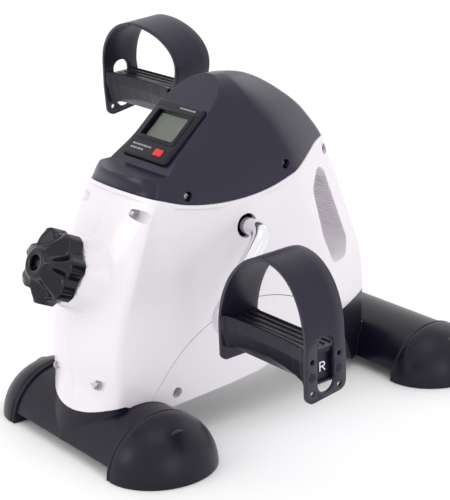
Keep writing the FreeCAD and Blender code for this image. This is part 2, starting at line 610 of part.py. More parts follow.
def build_pedals():
    for side, tilt, name in ((-1, 5.8, "left"), (1, 2.6, "right")):
        y, z = crank_end(side)
        for part, shape in (("pedal", pedal_body()), ("strap", strap())):
            if side < 0:
                shape = shape.mirror(V(0, 0, 0), X_AXIS)
            shape.rotate(V(0, 0, 0), X_AXIS, tilt)
            shape.translate(V(0, y, z))
            save("%s_%s" % (name, part), shape)


def pedal_body():
    """Foot rest about its spindle at y = z = 0, waisted between its two end plates."""
    wires = []
    for x, half, low in PEDAL_ROWS:
        outline = [(-half * 0.72, low), (-half, 12.0), (-half * 0.92, RIDGE), (-half * 0.72, TREAD_TOP),
                   (half * 0.86, TREAD_TOP - 1.0), (half, 13.0), (half * 0.7, low)]
        wires.append(Part.makePolygon([V(x, y, z) for y, z in outline + outline[:1]]))
    body = Part.makeLoft(wires, True, False)
    pocket = prism_x([(-11, -6), (11, -6), (11, 13), (-11, 13)], PEDAL_OUT - STRAP_T - 4.0, PEDAL_OUT, 3.0)
    body = body.cut([pocket, rod_x(100, 184.6, 0, 0, SPINDLE_R + RUNNING), rod_x(184.5, 190.5, 0, 0, 9.5)])
    studs = [rod_x(PEDAL_OUT - STRAP_T - 3.0, PEDAL_OUT + 1.2, s * HOLE_Y, HOLE_Z, 1.9) for s in (-1, 1)]
    return body.fuse(studs)


def strap():
    """Foot strap: a loop over the pedal whose two ends lie flat against the pedal's ends."""
    middle = (PEDAL_IN + PEDAL_OUT) / 2
    half = PEDAL_OUT - middle
    band = arch(middle, half, STRAP_TOP).cut(arch(middle, half - STRAP_T, STRAP_TOP - STRAP_T))
    outer_end = prism_x(STRAP_END, middle, PEDAL_OUT + 1, 7.0)
    inner_end = prism_x([(y * 0.95, max(z, -17.0)) for y, z in STRAP_END], PEDAL_IN - 1, middle, 6.0)
    band = band.common(outer_end.fuse(inner_end))
    slot = prism_x([(-8.2, -15.5), (8.2, -15.5), (8.2, 28.5), (-8.2, 28.5)], middle, PEDAL_OUT + 1, 8.0)
    spots = [(s * HOLE_Y, HOLE_Z + HOLE_STEP * i) for s in (-1, 1) for i in (-1, 0, 1)]
    holes = [rod_x(middle, PEDAL_OUT + 1, y, z, 2.1) for y, z in spots]
    return band.cut(holes + [slot, rod_x(PEDAL_IN - 1, middle, 0, 0, 9.0)])


def arch(middle, half, top):
    """Solid bounded by two upright sides and half an ellipse, wide enough to be trimmed in Y."""
    low = -60.0
    left, right = V(middle - half, -30, STRAP_SPRING), V(middle + half, -30, STRAP_SPRING)
    peak = V(middle, -30, top)
    feet = V(right.x, -30, low), V(left.x, -30, low)
    edges = [quarter(left, peak, V(left.x, -30, top)), quarter(peak, right, V(right.x, -30, top)),
             Part.LineSegment(right, feet[0]).toShape(), Part.LineSegment(feet[0], feet[1]).toShape(),
             Part.LineSegment(feet[1], left).toShape()]
    return Part.Face(Part.Wire(edges)).extrude(Y_AXIS * 60)


def main():
    os.makedirs("parts", exist_ok=True)
    build_body()
    build_screws()
    build_floor_bars()
    build_frame()
    build_crank()
    build_brake()
    build_console()
    build_sensor()
    build_pedals()


main()
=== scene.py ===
"""Looks of the pedal exerciser: the visible pieces as fine meshes, their materials, the stage and the light.

Shapes are worked out in millimetres in the part's own layout, where Y = 0 is midway between the two floor
bars, and are moved by Y_SHIFT and scaled to metres when a mesh is made.
"""
import json
import math

import bmesh
import bpy
import numpy as np
from mathutils import Matrix, Vector


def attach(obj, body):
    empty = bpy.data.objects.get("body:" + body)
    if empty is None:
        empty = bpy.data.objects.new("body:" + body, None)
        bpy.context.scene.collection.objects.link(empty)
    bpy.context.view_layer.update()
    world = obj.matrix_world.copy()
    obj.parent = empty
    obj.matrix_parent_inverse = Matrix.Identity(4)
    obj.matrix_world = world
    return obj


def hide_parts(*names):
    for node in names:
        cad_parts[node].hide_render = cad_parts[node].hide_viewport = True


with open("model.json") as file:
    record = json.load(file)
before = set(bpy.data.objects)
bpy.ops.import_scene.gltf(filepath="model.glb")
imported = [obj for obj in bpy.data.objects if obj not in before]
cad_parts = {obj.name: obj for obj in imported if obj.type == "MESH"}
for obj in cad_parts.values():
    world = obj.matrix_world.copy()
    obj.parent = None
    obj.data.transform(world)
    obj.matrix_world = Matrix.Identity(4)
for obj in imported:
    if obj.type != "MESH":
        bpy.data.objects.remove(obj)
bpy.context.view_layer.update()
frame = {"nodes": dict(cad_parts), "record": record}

# ---- dimensions, mm ----
Y_SHIFT = 9.7
FOOT_Y = 152.0
BAR_TOP, BAR_BOTTOM, BAR_HALF = 42.0, 9.0, 71.0
CAP_HEIGHT, CAP_DOME, CAP_RIM = 44.0, 42.0, 5.0
FLATTEN = 12.0 / 11.0
WALL, MID_WALL = 2.6, 1.3
SEAM_GAP, ARCH_GAP = 0.15, 0.55
OUT = 60.0                          # how far posts and cutters run outward, past the surface
AXLE_Y, AXLE_Z = -44.0, 168.0
CRANK_RADIUS, CRANK_ANGLE = 83.5, -134.0
CRANK_ROD_R, CRANK_HOLE_R = 7.0, 10.0
SPINDLE_R, SPINDLE_END = 6.0, 189.0
ARM_X, ARM_LEAN, BEND = 68.0, 12.0, 12.0
PEDAL_IN, PEDAL_OUT = 105.0, 204.0
PEDAL_TILT = {"left": 5.8, "right": 2.6}
STRAP_T, STRAP_HALF, STRAP_TOP = 2.6, 19.3, 80.0
STRAP_FOOT_FRONT, STRAP_FOOT_REAR = -21.5, -17.5
HOLE_Y, HOLE_Z, HOLE_STEP = 12.9, -0.9, 12.3
SLOPE_Y, SLOPE_Z, SLOPE_ANGLE = -115.5, 219.0, math.radians(42.34)
CONSOLE_HALF, CONSOLE_LEN, CONSOLE_T = 28.5, 55.0, 12.0
CENTRE_UP, PROUD = 34.3, 1.5
LCD_HALF, LCD_LOW, LCD_HIGH = 20.3, -8.0, 17.5
BUTTON = (8.4, 18.4, -22.8, -16.2)
CASE = (-CONSOLE_HALF, CONSOLE_HALF, -CONSOLE_LEN / 2, CONSOLE_LEN / 2)
KNOB_TILT = math.radians(23.4)
KNOB_Y, KNOB_Z = -190.0, 150.5
KNOB_R, KNOB_SKIRT, KNOB_HUB_R, KNOB_HUB = 30.0, 15.0, 11.5, 12.0
KNOB_LOBES = 7
BOSS_TOP = -1.5

# Plan outline of the body at each height: z, half width and y at the front crease, depth of the
# rounded nose in front of it, half width amidships, y of the rear end.
BODY_ROWS = np.array([
    (2.0, 43.0, -165.5, 33.0, 44.0, 126.0),
    (9.0, 43.0, -165.5, 31.5, 44.0, 126.0),
    (22.0, 43.5, -165.5, 27.0, 44.5, 126.0),
    (34.0, 43.5, -165.5, 22.5, 44.5, 126.0),
    (47.0, 44.0, -165.5, 18.5, 45.0, 126.0),
    (85.0, 45.0, -165.5, 21.0, 45.0, 125.0),
    (110.0, 45.0, -162.5, 20.5, 45.0, 120.0),
    (150.0, 45.0, -150.0, 21.0, 45.0, 103.0),
    (180.0, 44.0, -139.5, 17.0, 45.0, 90.0),
    (207.0, 42.0, -128.0, 13.5, 44.0, 77.0),
    (219.0, 38.0, -121.5, 18.5, 42.5, 71.0),
    (235.0, 31.0, -107.0, 12.0, 40.0, 58.0),
    (250.0, 29.5, -90.0, 10.0, 36.5, 43.0),
    (262.0, 29.0, -77.0, 9.0, 32.5, 26.0),
    (270.0, 26.0, -68.0, 8.0, 28.0, 13.0),
    (277.0, 20.0, -60.0, 7.0, 21.0, -1.0),
    (281.5, 11.0, -54.0, 5.0, 13.0, -14.0),
    (283.6, 4.0, -45.0, 3.0, 5.5, -26.0),
])
HOOD_SEAM = [(-142.0, 207.5), (-102.6, 195.5), (-58.5, 190.8), (-12.3, 196.0), (9.0, 203.0),
             (28.0, 210.0), (48.0, 216.0), (92.0, 217.0)]
ARCH_SEAM = [(-143.5, 36.0), (-114.6, 70.7), (-71.2, 97.0), (-35.4, 104.0), (11.0, 94.4), (60.0, 66.0)]
UNDERSIDE = [(-240.0, 29.0), (-132.0, 29.0), (-60.0, 34.5), (-28.0, 38.3), (58.0, 67.5), (140.0, 67.5)]
HAND_OPENING = [(33.0, 182.0), (48.0, 199.0), (59.0, 191.0), (87.0, 126.0), (80.0, 112.0), (56.0, 113.0),
                (43.0, 140.0)]
COLLAR_LOW, COLLAR_SIDE = 34.0, 43.5
# y, z and |x| of the recess floor of each pair of screws
HOUSING_SCREWS = [(-141.5, 192.0, 27.0), (-180.0, 60.0, 27.0), (68.0, 206.0, 8.0)]
COVER_SCREWS = [(-113.7, 41.1, 38.5), (22.0, 68.0, 38.5)]
HOOD_SCREWS = [(-100.9, 201.6, 38.5), (-0.9, 210.7, 37.5)]
RECESS_R, HEAD_R, POST_R = 4.5, 3.4, 7.0

KNOB_BACK = np.array([0.0, KNOB_Y, KNOB_Z])
KNOB_DIR = np.array([0.0, -math.cos(KNOB_TILT), math.sin(KNOB_TILT)])
KNOB_UP = np.array([0.0, math.sin(KNOB_TILT), math.cos(KNOB_TILT)])


# ---- mesh helpers ----
def make(name, points, faces):
    """Mesh object from points in mm in the part's layout."""
    co = (np.asarray(points, float) + (0.0, Y_SHIFT, 0.0)) * 0.001
    mesh = bpy.data.meshes.new(name)
    mesh.from_pydata(co.tolist(), [], [list(map(int, f)) for f in faces])
    mesh.update()
    obj = bpy.data.objects.new(name, mesh)
    bpy.context.scene.collection.objects.link(obj)
    return obj


def recalc(obj):
    """Turn every face outward."""
    work = bmesh.new()
    work.from_mesh(obj.data)
    bmesh.ops.recalc_face_normals(work, faces=work.faces)
    work.to_mesh(obj.data)
    work.free()
    return obj


def grid_faces(rows, cols, closed, offset=0):
    """Quads of a grid of points stored row by row; closed joins the last column to the first."""
    faces = []
    for i in range(rows - 1):
        for j in range(cols if closed else cols - 1):
            k = (j + 1) % cols
            a, b = offset + i * cols, offset + (i + 1) * cols
            faces.append((a + j, a + k, b + k, b + j))
    return faces


def loft(name, rings):
    """Closed solid through rings of equal length."""
    rings = np.asarray(rings, float)
    rows, cols = rings.shape[:2]
    faces = grid_faces(rows, cols, True)
    faces.append(tuple(range(cols))[::-1])
    faces.append(tuple((rows - 1) * cols + j for j in range(cols)))
    return recalc(make(name, rings.reshape(-1, 3), faces))


def prism_x(name, outline, x0, x1):
    return loft(name, [[(x, y, z) for y, z in outline] for x in (x0, x1)])


def prism_y(name, outline, y0, y1):
    return loft(name, [[(x, y, z) for x, z in outline] for y in (y0, y1)])


def rounded(corners, radius, steps=6):
    """Closed outline with its corners turned into arcs; radius is one value or one for each corner."""
    out, count = [], len(corners)
    for i, corner in enumerate(corners):
        r = radius[i] if isinstance(radius, (list, tuple)) else radius
        c = np.array(corner, float)
        u = np.array(corners[i - 1], float) - c
        w = np.array(corners[(i + 1) % count], float) - c
        u, w = u / np.linalg.norm(u), w / np.linalg.norm(w)
        half = math.acos(max(-1.0, min(1.0, float(u @ w)))) / 2
        reach = r / math.tan(half)
        start, end = c + u * reach, c + w * reach
        centre = c + (u + w) / np.linalg.norm(u + w) * (r / math.sin(half))
        a0 = math.atan2(*(start - centre)[::-1])
        a1 = math.atan2(*(end - centre)[::-1])
        turn = (a1 - a0 + math.pi) % (2 * math.pi) - math.pi
        for k in range(steps + 1):
            a = a0 + turn * k / steps
            out.append(tuple(centre + r * np.array([math.cos(a), math.sin(a)])))
    return out


def grown(outline, by):
    """The outline moved outward by a distance, for a convex-ish outline."""
    pts = np.array(outline, float)
    area = 0.5 * np.sum(pts[:, 0] * np.roll(pts[:, 1], -1) - np.roll(pts[:, 0], -1) * pts[:, 1])
    side = np.roll(pts, -1, 0) - np.roll(pts, 1, 0)
    normal = np.stack([side[:, 1], -side[:, 0]], 1) * (1 if area > 0 else -1)
    return [tuple(p) for p in pts + normal / np.linalg.norm(normal, axis=1)[:, None] * by]


def disc_ring(centre, axis_u, axis_v, r, count):
    a = np.linspace(0, 2 * math.pi, count, endpoint=False)
    return centre + r * (np.cos(a)[:, None] * axis_u + np.sin(a)[:, None] * axis_v)


def turned(name, origin, direction, profile, count=48):
    """Solid of revolution: profile is (distance along the direction, radius)."""
    d = np.array(direction, float) / np.linalg.norm(direction)
    u = np.cross(d, (0.0, 0.0, 1.0) if abs(d[2]) < 0.9 else (1.0, 0.0, 0.0))
    u /= np.linalg.norm(u)
    v = np.cross(d, u)
    return loft(name, [disc_ring(np.array(origin) + d * h, u, v, max(r, 0.01), count) for h, r in profile])


def rod_x(name, x0, x1, y, z, r, count=40):
    return turned(name, (x0, y, z), (1, 0, 0), [(0, r), (x1 - x0, r)], count)


def stub(name, y, z, start, r, side=1, length=OUT, count=32):
    """Round post or cutter that runs outward along X from |x| = start."""
    return turned(name, (side * start, y, z), (side, 0, 0), [(0, r), (length, r)], count)


def join(*objs):
    """One object from several that don't touch."""
    verts, faces = [], []
    for o in objs:
        base = len(verts)
        verts += [tuple(v.co) for v in o.data.vertices]
        faces += [tuple(base + k for k in p.vertices) for p in o.data.polygons]
    mesh = bpy.data.meshes.new(objs[0].name)
    mesh.from_pydata(verts, [], faces)
    mesh.update()
    objs[0].data = mesh
    for o in objs[1:]:
        bpy.data.objects.remove(o)
    return objs[0]


def bake(obj):
    """Apply the object's modifiers."""
    graph = bpy.context.evaluated_depsgraph_get()
    mesh = bpy.data.meshes.new_from_object(obj.evaluated_get(graph))
    obj.modifiers.clear()
    obj.data = mesh
    return obj


def combine(obj, other, operation):
    """Boolean of two closed solids: UNION, DIFFERENCE or INTERSECT."""
    step = obj.modifiers.new("combine", "BOOLEAN")
    step.solver = "MANIFOLD"
    step.operation = operation
    step.object = other
    bake(obj)
    bpy.data.objects.remove(other)
    return obj


def copy_of(obj, name):
    new = bpy.data.objects.new(name, obj.data.copy())
    bpy.context.scene.collection.objects.link(new)
    return new


def flip(obj):
    """Move a mesh to the other side of the middle plane."""
    obj.data.transform(Matrix.Scale(-1, 4, (1, 0, 0)))
    obj.data.flip_normals()
    return obj


def place(obj, matrix_mm):
    """Move a mesh by a transform given in mm about the part's layout."""
    shift = Matrix.Translation((0, Y_SHIFT * 0.001, 0))
    m = matrix_mm.copy()
    m.translation = m.translation * 0.001
    obj.data.transform(shift @ m @ shift.inverted())
    return obj


def smooth(obj, angle=32.0):
    """Smooth shading, with edges sharper than the angle kept crisp."""
    mesh = obj.data
    mesh.polygons.foreach_set("use_smooth", [True] * len(mesh.polygons))
    mesh.set_sharp_from_angle(angle=math.radians(angle))
    return obj


def bevelled(obj, width, segments=2, angle=35.0):
    step = obj.modifiers.new("bevel", "BEVEL")
    step.width = width * 0.001
    step.segments = segments
    step.limit_method = "ANGLE"
    step.angle_limit = math.radians(angle)
    step.use_clamp_overlap = True
    return bake(obj)


def finish_piece(obj, body, slot, *nodes, angle=32.0, material=None):
    """Shade, paint and register a piece; its material is its slot's unless another is given."""
    smooth(obj, angle)
    obj.data.materials.clear()
    obj.data.materials.append(material or MATERIALS[slot])
    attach(obj, body)
    if nodes:
        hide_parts(*nodes)
    return obj


def hermite(t, h, a, slope_a, b, slope_b):
    """Cubic from a to b over a step h, with the slopes at both ends."""
    return ((2 * t**3 - 3 * t**2 + 1) * a + (t**3 - 2 * t**2 + t) * h * slope_a
            + (3 * t**2 - 2 * t**3) * b + (t**3 - t**2) * h * slope_b)


def spline_through(points, samples=160):
    """Smooth curve through (y, z) points, as a table of z by y."""
    p = np.array(points, float)
    slope = np.gradient(p[:, 1], p[:, 0])
    y = np.linspace(p[0, 0], p[-1, 0], samples)
    i = np.clip(np.searchsorted(p[:, 0], y) - 1, 0, len(p) - 2)
    h = p[i + 1, 0] - p[i, 0]
    t = (y - p[i, 0]) / h
    return y, hermite(t, h, p[i, 1], slope[i], p[i + 1, 1], slope[i + 1])


# ---- materials ----
def node(tree, kind, **values):
    n = tree.nodes.new(kind)
    for key, value in values.items():
        setattr(n, key, value)
    return n


def surface(name, base, rough, spread=0.05, tint=0.06, grain=900.0, bump=0.02, edge=0.0005,
            metallic=0.0, coat=0.0, specular=0.5, wear=0.0):
    """Procedural finish: base colour with a slow drift, uneven gloss, fine grain and softened edges."""
    mat = bpy.data.materials.new(name)
    mat.use_nodes = True
    tree = mat.node_tree
    link = tree.links.new
    bsdf = tree.nodes["Principled BSDF"]
    bsdf.inputs["Metallic"].default_value = metallic
    bsdf.inputs["Specular IOR Level"].default_value = specular
    bsdf.inputs["Coat Weight"].default_value = coat
    bsdf.inputs["Coat Roughness"].default_value = 0.08
    where = node(tree, "ShaderNodeTexCoord")
    slow = node(tree, "ShaderNodeTexNoise")
    slow.inputs["Scale"].default_value = 14.0
    slow.inputs["Detail"].default_value = 4.0
    link(where.outputs["Object"], slow.inputs["Vector"])
    fine = node(tree, "ShaderNodeTexNoise")
    fine.inputs["Scale"].default_value = grain
    fine.inputs["Detail"].default_value = 2.0
    link(where.outputs["Object"], fine.inputs["Vector"])

    colour = node(tree, "ShaderNodeMix", data_type="RGBA")
    colour.inputs["A"].default_value = (*[c * (1 - tint) for c in base], 1)
    colour.inputs["B"].default_value = (*[min(1, c * (1 + tint)) for c in base], 1)
    link(slow.outputs["Fac"], colour.inputs["Factor"])
    last = colour.outputs["Result"]
    if wear:
        rub = node(tree, "ShaderNodeNewGeometry")
        ramp = node(tree, "ShaderNodeValToRGB")
        ramp.color_ramp.elements[0].position = 0.53
        ramp.color_ramp.elements[1].position = 0.62
        link(rub.outputs["Pointiness"], ramp.inputs["Fac"])
        worn = node(tree, "ShaderNodeMix", data_type="RGBA")
        worn.inputs["B"].default_value = (*[min(1, c + wear) for c in base], 1)
        link(ramp.outputs["Color"], worn.inputs["Factor"])
        link(last, worn.inputs["A"])
        last = worn.outputs["Result"]
    link(last, bsdf.inputs["Base Color"])

    gloss = node(tree, "ShaderNodeMapRange")
    gloss.inputs["To Min"].default_value = max(0.02, rough - spread)
    gloss.inputs["To Max"].default_value = rough + spread
    link(slow.outputs["Fac"], gloss.inputs["Value"])
    link(gloss.outputs["Result"], bsdf.inputs["Roughness"])

    grain_bump = node(tree, "ShaderNodeBump")
    grain_bump.inputs["Strength"].default_value = bump
    grain_bump.inputs["Distance"].default_value = 0.0004
    link(fine.outputs["Fac"], grain_bump.inputs["Height"])
    if edge:
        soft = node(tree, "ShaderNodeBevel", samples=6)
        soft.inputs["Radius"].default_value = edge
        link(soft.outputs["Normal"], grain_bump.inputs["Normal"])
    link(grain_bump.outputs["Normal"], bsdf.inputs["Normal"])
    return mat


def glass_material(name):
    mat = surface(name, (0.8, 0.85, 0.8), 0.05, spread=0.02, bump=0.0, edge=0.0)
    bsdf = mat.node_tree.nodes["Principled BSDF"]
    bsdf.inputs["Transmission Weight"].default_value = 1.0
    return mat


MATERIALS = {
    "white_shell": surface(
        "white_plastic", (0.76, 0.722, 0.765), 0.22, 0.04, 0.012, 1400, 0.008, 0.0007, coat=0.25),
    "dark_shell": surface(
        "hood_plastic", (0.010, 0.008, 0.025), 0.27, 0.04, 0.08, 1500, 0.02, 0.0011, specular=0.36),
    "foot_black": surface(
        "foot_plastic", (0.005, 0.004, 0.012), 0.33, 0.05, 0.10, 1100, 0.05, 0.0008, specular=0.28,
        wear=0.01),
    "console_black": surface(
        "console_plastic", (0.003, 0.003, 0.009), 0.26, 0.05, 0.10, 1600, 0.03, 0.0005, specular=0.25,
        wear=0.03),
    "knob_black": surface(
        "knob_plastic", (0.003, 0.003, 0.008), 0.16, 0.04, 0.10, 900, 0.01, 0.0008, specular=0.36),
    "pedal_black": surface(
        "pedal_plastic", (0.005, 0.004, 0.012), 0.34, 0.06, 0.12, 1000, 0.08, 0.0007, specular=0.30,
        wear=0.02),
    "strap_rubber": surface(
        "strap_plastic", (0.012, 0.010, 0.024), 0.38, 0.05, 0.10, 1300, 0.05, 0.0006, specular=0.30,
        wear=0.02),
    "chrome": surface("chrome", (0.80, 0.80, 0.83), 0.07, 0.02, 0.01, 500, 0.0, 0.0, metallic=1.0),
    "lcd": surface("lcd_glass", (0.095, 0.103, 0.080), 0.18, 0.02, 0.04, 2000, 0.0, 0.0),
    "window": glass_material("clear_window"),
    "button_red": surface("red_button", (0.62, 0.010, 0.008), 0.30, 0.05, 0.04, 1500, 0.02, 0.0004),
    "board_green": surface("circuit_board", (0.02, 0.16, 0.06), 0.45, 0.05, 0.15, 700, 0.05, 0.0),
    "steel": surface("zinc_steel", (0.55, 0.55, 0.57), 0.34, 0.08, 0.08, 700, 0.04, 0.0003, metallic=1.0),
    "frame_paint": surface("frame_paint", (0.02, 0.02, 0.024), 0.42, 0.08, 0.10, 500, 0.12, 0.0004),
    "flywheel_iron": surface(
        "turned_iron", (0.25, 0.25, 0.26), 0.40, 0.10, 0.12, 900, 0.06, 0.0004, metallic=1.0),
    "pulley_plastic": surface("nylon", (0.07, 0.07, 0.075), 0.45, 0.06, 0.10, 900, 0.04, 0.0004),
    "magnet_metal": surface(
        "magnet_plate", (0.6, 0.6, 0.62), 0.22, 0.05, 0.05, 600, 0.02, 0.0002, metallic=1.0),
    "belt_rubber": surface("belt_rubber", (0.02, 0.02, 0.022), 0.60, 0.08, 0.12, 700, 0.10, 0.0),
    "felt": surface("felt", (0.30, 0.28, 0.25), 0.95, 0.04, 0.20, 1500, 0.50, 0.0),
}
MARK_WHITE = surface("mark_white", (0.82, 0.82, 0.84), 0.5, 0.04, 0.03, 1500, 0.02, 0.0)
MARK_GREY = surface("mark_grey", (0.30, 0.30, 0.34), 0.5, 0.04, 0.05, 1500, 0.02, 0.0)


# ---- body surface ----
def bezier(poles, t):
    p = np.array(poles, float)
    t = np.asarray(t)[:, None]
    return ((1 - t)**3 * p[0] + 3 * t * (1 - t)**2 * p[1] + 3 * t**2 * (1 - t) * p[2] + t**3 * p[3])


def half_outline(row, inset):
    """Right half of the plan outline at one height, from the front centre to the rear centre, in three
    parts: the nose up to the crease, the long side, and the rear."""
    _, crease_w, crease_y, nose, width, rear = row
    crease_w, width, rear = crease_w - inset, width - inset, rear - inset
    crease_y, nose = crease_y + 0.3 * inset, nose - 0.7 * inset
    scale = width / 45.0
    turn = math.radians(59.7)
    tip_r = 16.0 * scale
    front_y = crease_y - nose
    shoulder_y = rear - 74.0 * scale
    third = (shoulder_y - crease_y) / 3.0
    tip = np.array([tip_r * math.sin(turn), rear - tip_r * (1 - math.cos(turn))])
    slant = np.array([-math.cos(turn), math.sin(turn)])
    pull = 0.5523
    t = np.linspace(0, 1, 60)
    nose_part = bezier([(0, front_y), (crease_w * pull, front_y),
                        (crease_w, crease_y + (front_y - crease_y) * pull), (crease_w, crease_y)], t)
    side_part = bezier([(crease_w, crease_y), (width - 0.35 * (width - crease_w), crease_y + third),
                        (width, shoulder_y - third), (width, shoulder_y)], t)
    taper = bezier([(width, shoulder_y), (width, shoulder_y + 10.0 * scale),
                    tip - slant * (34.0 * scale), tip], t)
    end = bezier([tip, tip + slant * (0.37 * tip_r), (0.37 * tip_r, rear), (0, rear)], t[:20] / t[19])
    return nose_part, side_part, np.vstack([taper, end[1:]])


def resample(line, fractions):
    """Points at the given shares of a polyline's length."""
    step = np.r_[0, np.cumsum(np.linalg.norm(np.diff(line, axis=0), axis=1))]
    want = np.asarray(fractions) * step[-1]
    return np.stack([np.interp(want, step, line[:, k]) for k in range(line.shape[1])], 1), step[-1]


# mm from the crease, for the columns beside it
NEAR_CREASE = [1.2, 2.1, 2.5, 2.9, 3.3, 3.8, 4.3, 4.8, 5.5]
NOSE_COLS, SIDE_COLS, REAR_COLS = 22, 78, 34


def outline_columns(row, inset):
    """The half outline at fixed columns, with extra ones beside the crease, and each column's distance
    from the crease."""
    nose, side, rear = half_outline(row, inset)
    _, nose_len = resample(nose, [0])
    _, side_len = resample(side, [0])
    near = np.minimum(np.array(NEAR_CREASE), 0.4 * nose_len)
    nose_at = np.r_[np.linspace(0, nose_len - near[-1], NOSE_COLS, endpoint=False), nose_len - near[::-1]]
    side_at = np.r_[0, near, np.linspace(near[-1], side_len, SIDE_COLS)[1:]]
    a, _ = resample(nose, nose_at / nose_len)
    b, _ = resample(side, side_at / side_len)
    c, rear_len = resample(rear, np.linspace(0, 1, REAR_COLS + 1)[1:])
    away = np.r_[nose_at - nose_len, side_at, side_len + np.linspace(0, 1, REAR_COLS + 1)[1:] * rear_len]
    return np.vstack([a, b, c]), away


def row_path(count):
    """The table of rows, smoothly interpolated along its own length so that the crown rounds over."""
    rows = BODY_ROWS
    step = np.r_[0, np.cumsum(np.hypot(np.diff(rows[:, 0]), np.diff(rows[:, 4])))]
    tangent = np.gradient(rows, step, axis=0)
    w = np.linspace(0, step[-1], count)
    i = np.clip(np.searchsorted(step, w) - 1, 0, len(step) - 2)
    h = (step[i + 1] - step[i])[:, None]
    t = ((w - step[i]) / h[:, 0])[:, None]
    return hermite(t, h, rows[i], tangent[i], rows[i + 1], tangent[i + 1])


def body_table(inset, count=420):
    """Points of the right half of the body's surface, by height and column."""
    table, away = [], None
    for row in row_path(count):
        flat, away = outline_columns(row, inset)
        table.append(np.c_[flat, np.full(len(flat), row[0])])
    return np.array(table), away


SURFACE = {inset: body_table(inset) for inset in (0.0, MID_WALL, WALL)}


def level_of(table, height):
    """For each column, the first place along the table where its z passes height(x, y)."""
    out = []
    for j in range(table.shape[1]):
        line = table[:, j]
        above = line[:, 2] - height(line[:, 0], line[:, 1])
        i = int(np.argmax(above > 0)) if (above > 0).any() else len(line) - 1
        i = max(i, 1)
        d = above[i] - above[i - 1]
        out.append(i - 1 + (0.0 if abs(d) < 1e-9 else float(np.clip(-above[i - 1] / d, 0, 1))))
    return np.array(out)


def patch(inset, low, high, rows, ease=None):
    """Grid of the body's surface between two levels, rows by columns."""
    table, _ = SURFACE[inset]
    index = np.arange(table.shape[1])
    grid = []
    for t in np.linspace(0, 1, rows):
        t = ease(t) if ease else t
        w = low + (high - low) * t
        i = np.clip(w.astype(int), 0, len(table) - 2)
        f = (w - i)[:, None]
        grid.append(table[i, index] * (1 - f) + table[i + 1, index] * f)
    return np.array(grid)


def seam_height(x, y):
    line_y, line_z = SEAM_LINE
    return np.interp(y, line_y, line_z)


SEAM_LINE = spline_through([(-260.0, 208.0)] + HOOD_SEAM + [(200.0, 217.0)])
ARCH_LINE = spline_through(ARCH_SEAM)


def bar_height(y, top):
    return np.sqrt(np.maximum(0.0, top**2 - ((np.asarray(y) + FOOT_Y) / FLATTEN)**2))


def bottom_height(x, y):
    """Lower edge of the white shell: the front collar's top line, the front bar, then the belly."""
    belly = np.maximum(np.interp(y, *zip(*UNDERSIDE)), bar_height(y, BAR_TOP + 0.4))
    collar = COLLAR_LOW + (COLLAR_SIDE - COLLAR_LOW) * (x / 44.0)**2
    share = np.clip((y + 165.0) / 4.0, 0, 1)
    return collar * (1 - share) + belly * share


def step_down(d, flat, fade):
    """1 up to the distance flat, then a smooth fall to 0 over fade."""
    t = np.clip((np.abs(d) - flat) / fade, 0, 1)
    return 1 - t * t * (3 - 2 * t)


def plan_normals(grid):
    side = np.gradient(grid, axis=1)
    normal = np.stack([side[..., 1], -side[..., 0], np.zeros(side.shape[:2])], -1)
    length = np.linalg.norm(normal, axis=-1, keepdims=True)
    normal = normal / np.maximum(length, 1e-9)
    outward = np.where(np.sum(normal[:, :, :2] * (grid[:, :, :2] - (0, -30)), -1, keepdims=True) < 0, -1, 1)
    return normal * outward


def raise_knob_boss(grid):
    """Blend the cone behind the knob into the nose."""
    rel = grid - KNOB_BACK
    h = rel @ KNOB_DIR
    r = np.linalg.norm(rel - h[..., None] * KNOB_DIR, axis=-1)
    cone = np.where(r < 27.0, BOSS_TOP, BOSS_TOP - (r - 27.0) * 4.2)
    blend = 2.5
    top = np.minimum(blend * np.logaddexp(h / blend, cone / blend), BOSS_TOP)
    lift = np.clip(top - h, 0, None) * step_down(r, 38.0, 5.0)
    return grid + lift[..., None] * KNOB_DIR


def dress_white(grid, seam, away):
    """Raised crease bead, lip below the hood, shallow cone round the crank hole, boss behind the knob."""
    normal = plan_normals(grid)
    z_seam = seam[None, :]
    below = z_seam - grid[..., 2]
    lift = 1.15 * step_down(away[None, :] - 0.2, 2.3, 0.9) * np.clip(below / 2.0, 0, 1)
    lift = np.maximum(lift, 1.0 * step_down(below, 2.8, 1.2))
    lift = lift - 0.45 * step_down(away[None, :] + 4.3, 0.5, 0.7) * np.clip((below - 3.0) / 3.0, 0, 1)
    r = np.hypot(grid[..., 1] - AXLE_Y, grid[..., 2] - AXLE_Z)
    lift = np.maximum(lift, 1.7 * step_down(r, 13.0, 26.0))
    return raise_knob_boss(grid + normal * lift[..., None])


def body_solid(name, grid, full=False, plane=0.0):
    """Closed solid from a right-half grid of the body: mirrored when full, else flat at an x plane."""
    grid = grid.copy()
    grid[:, [0, -1], 0] = 0.0
    partner = grid[:, 1:-1][:, ::-1].copy()
    partner[..., 0] = -partner[..., 0] if full else plane
    rings = np.concatenate([grid, partner], 1)
    rows, cols = rings.shape[:2]
    faces = grid_faces(rows, cols, True)
    for start in (0, (rows - 1) * cols):
        for j in range(grid.shape[1] - 1):
            quad = [start + j, start + j + 1, start + cols - j - 1, start + (cols - j) % cols]
            faces.append(tuple(dict.fromkeys(quad)))
    return recalc(make(name, rings.reshape(-1, 3), faces))


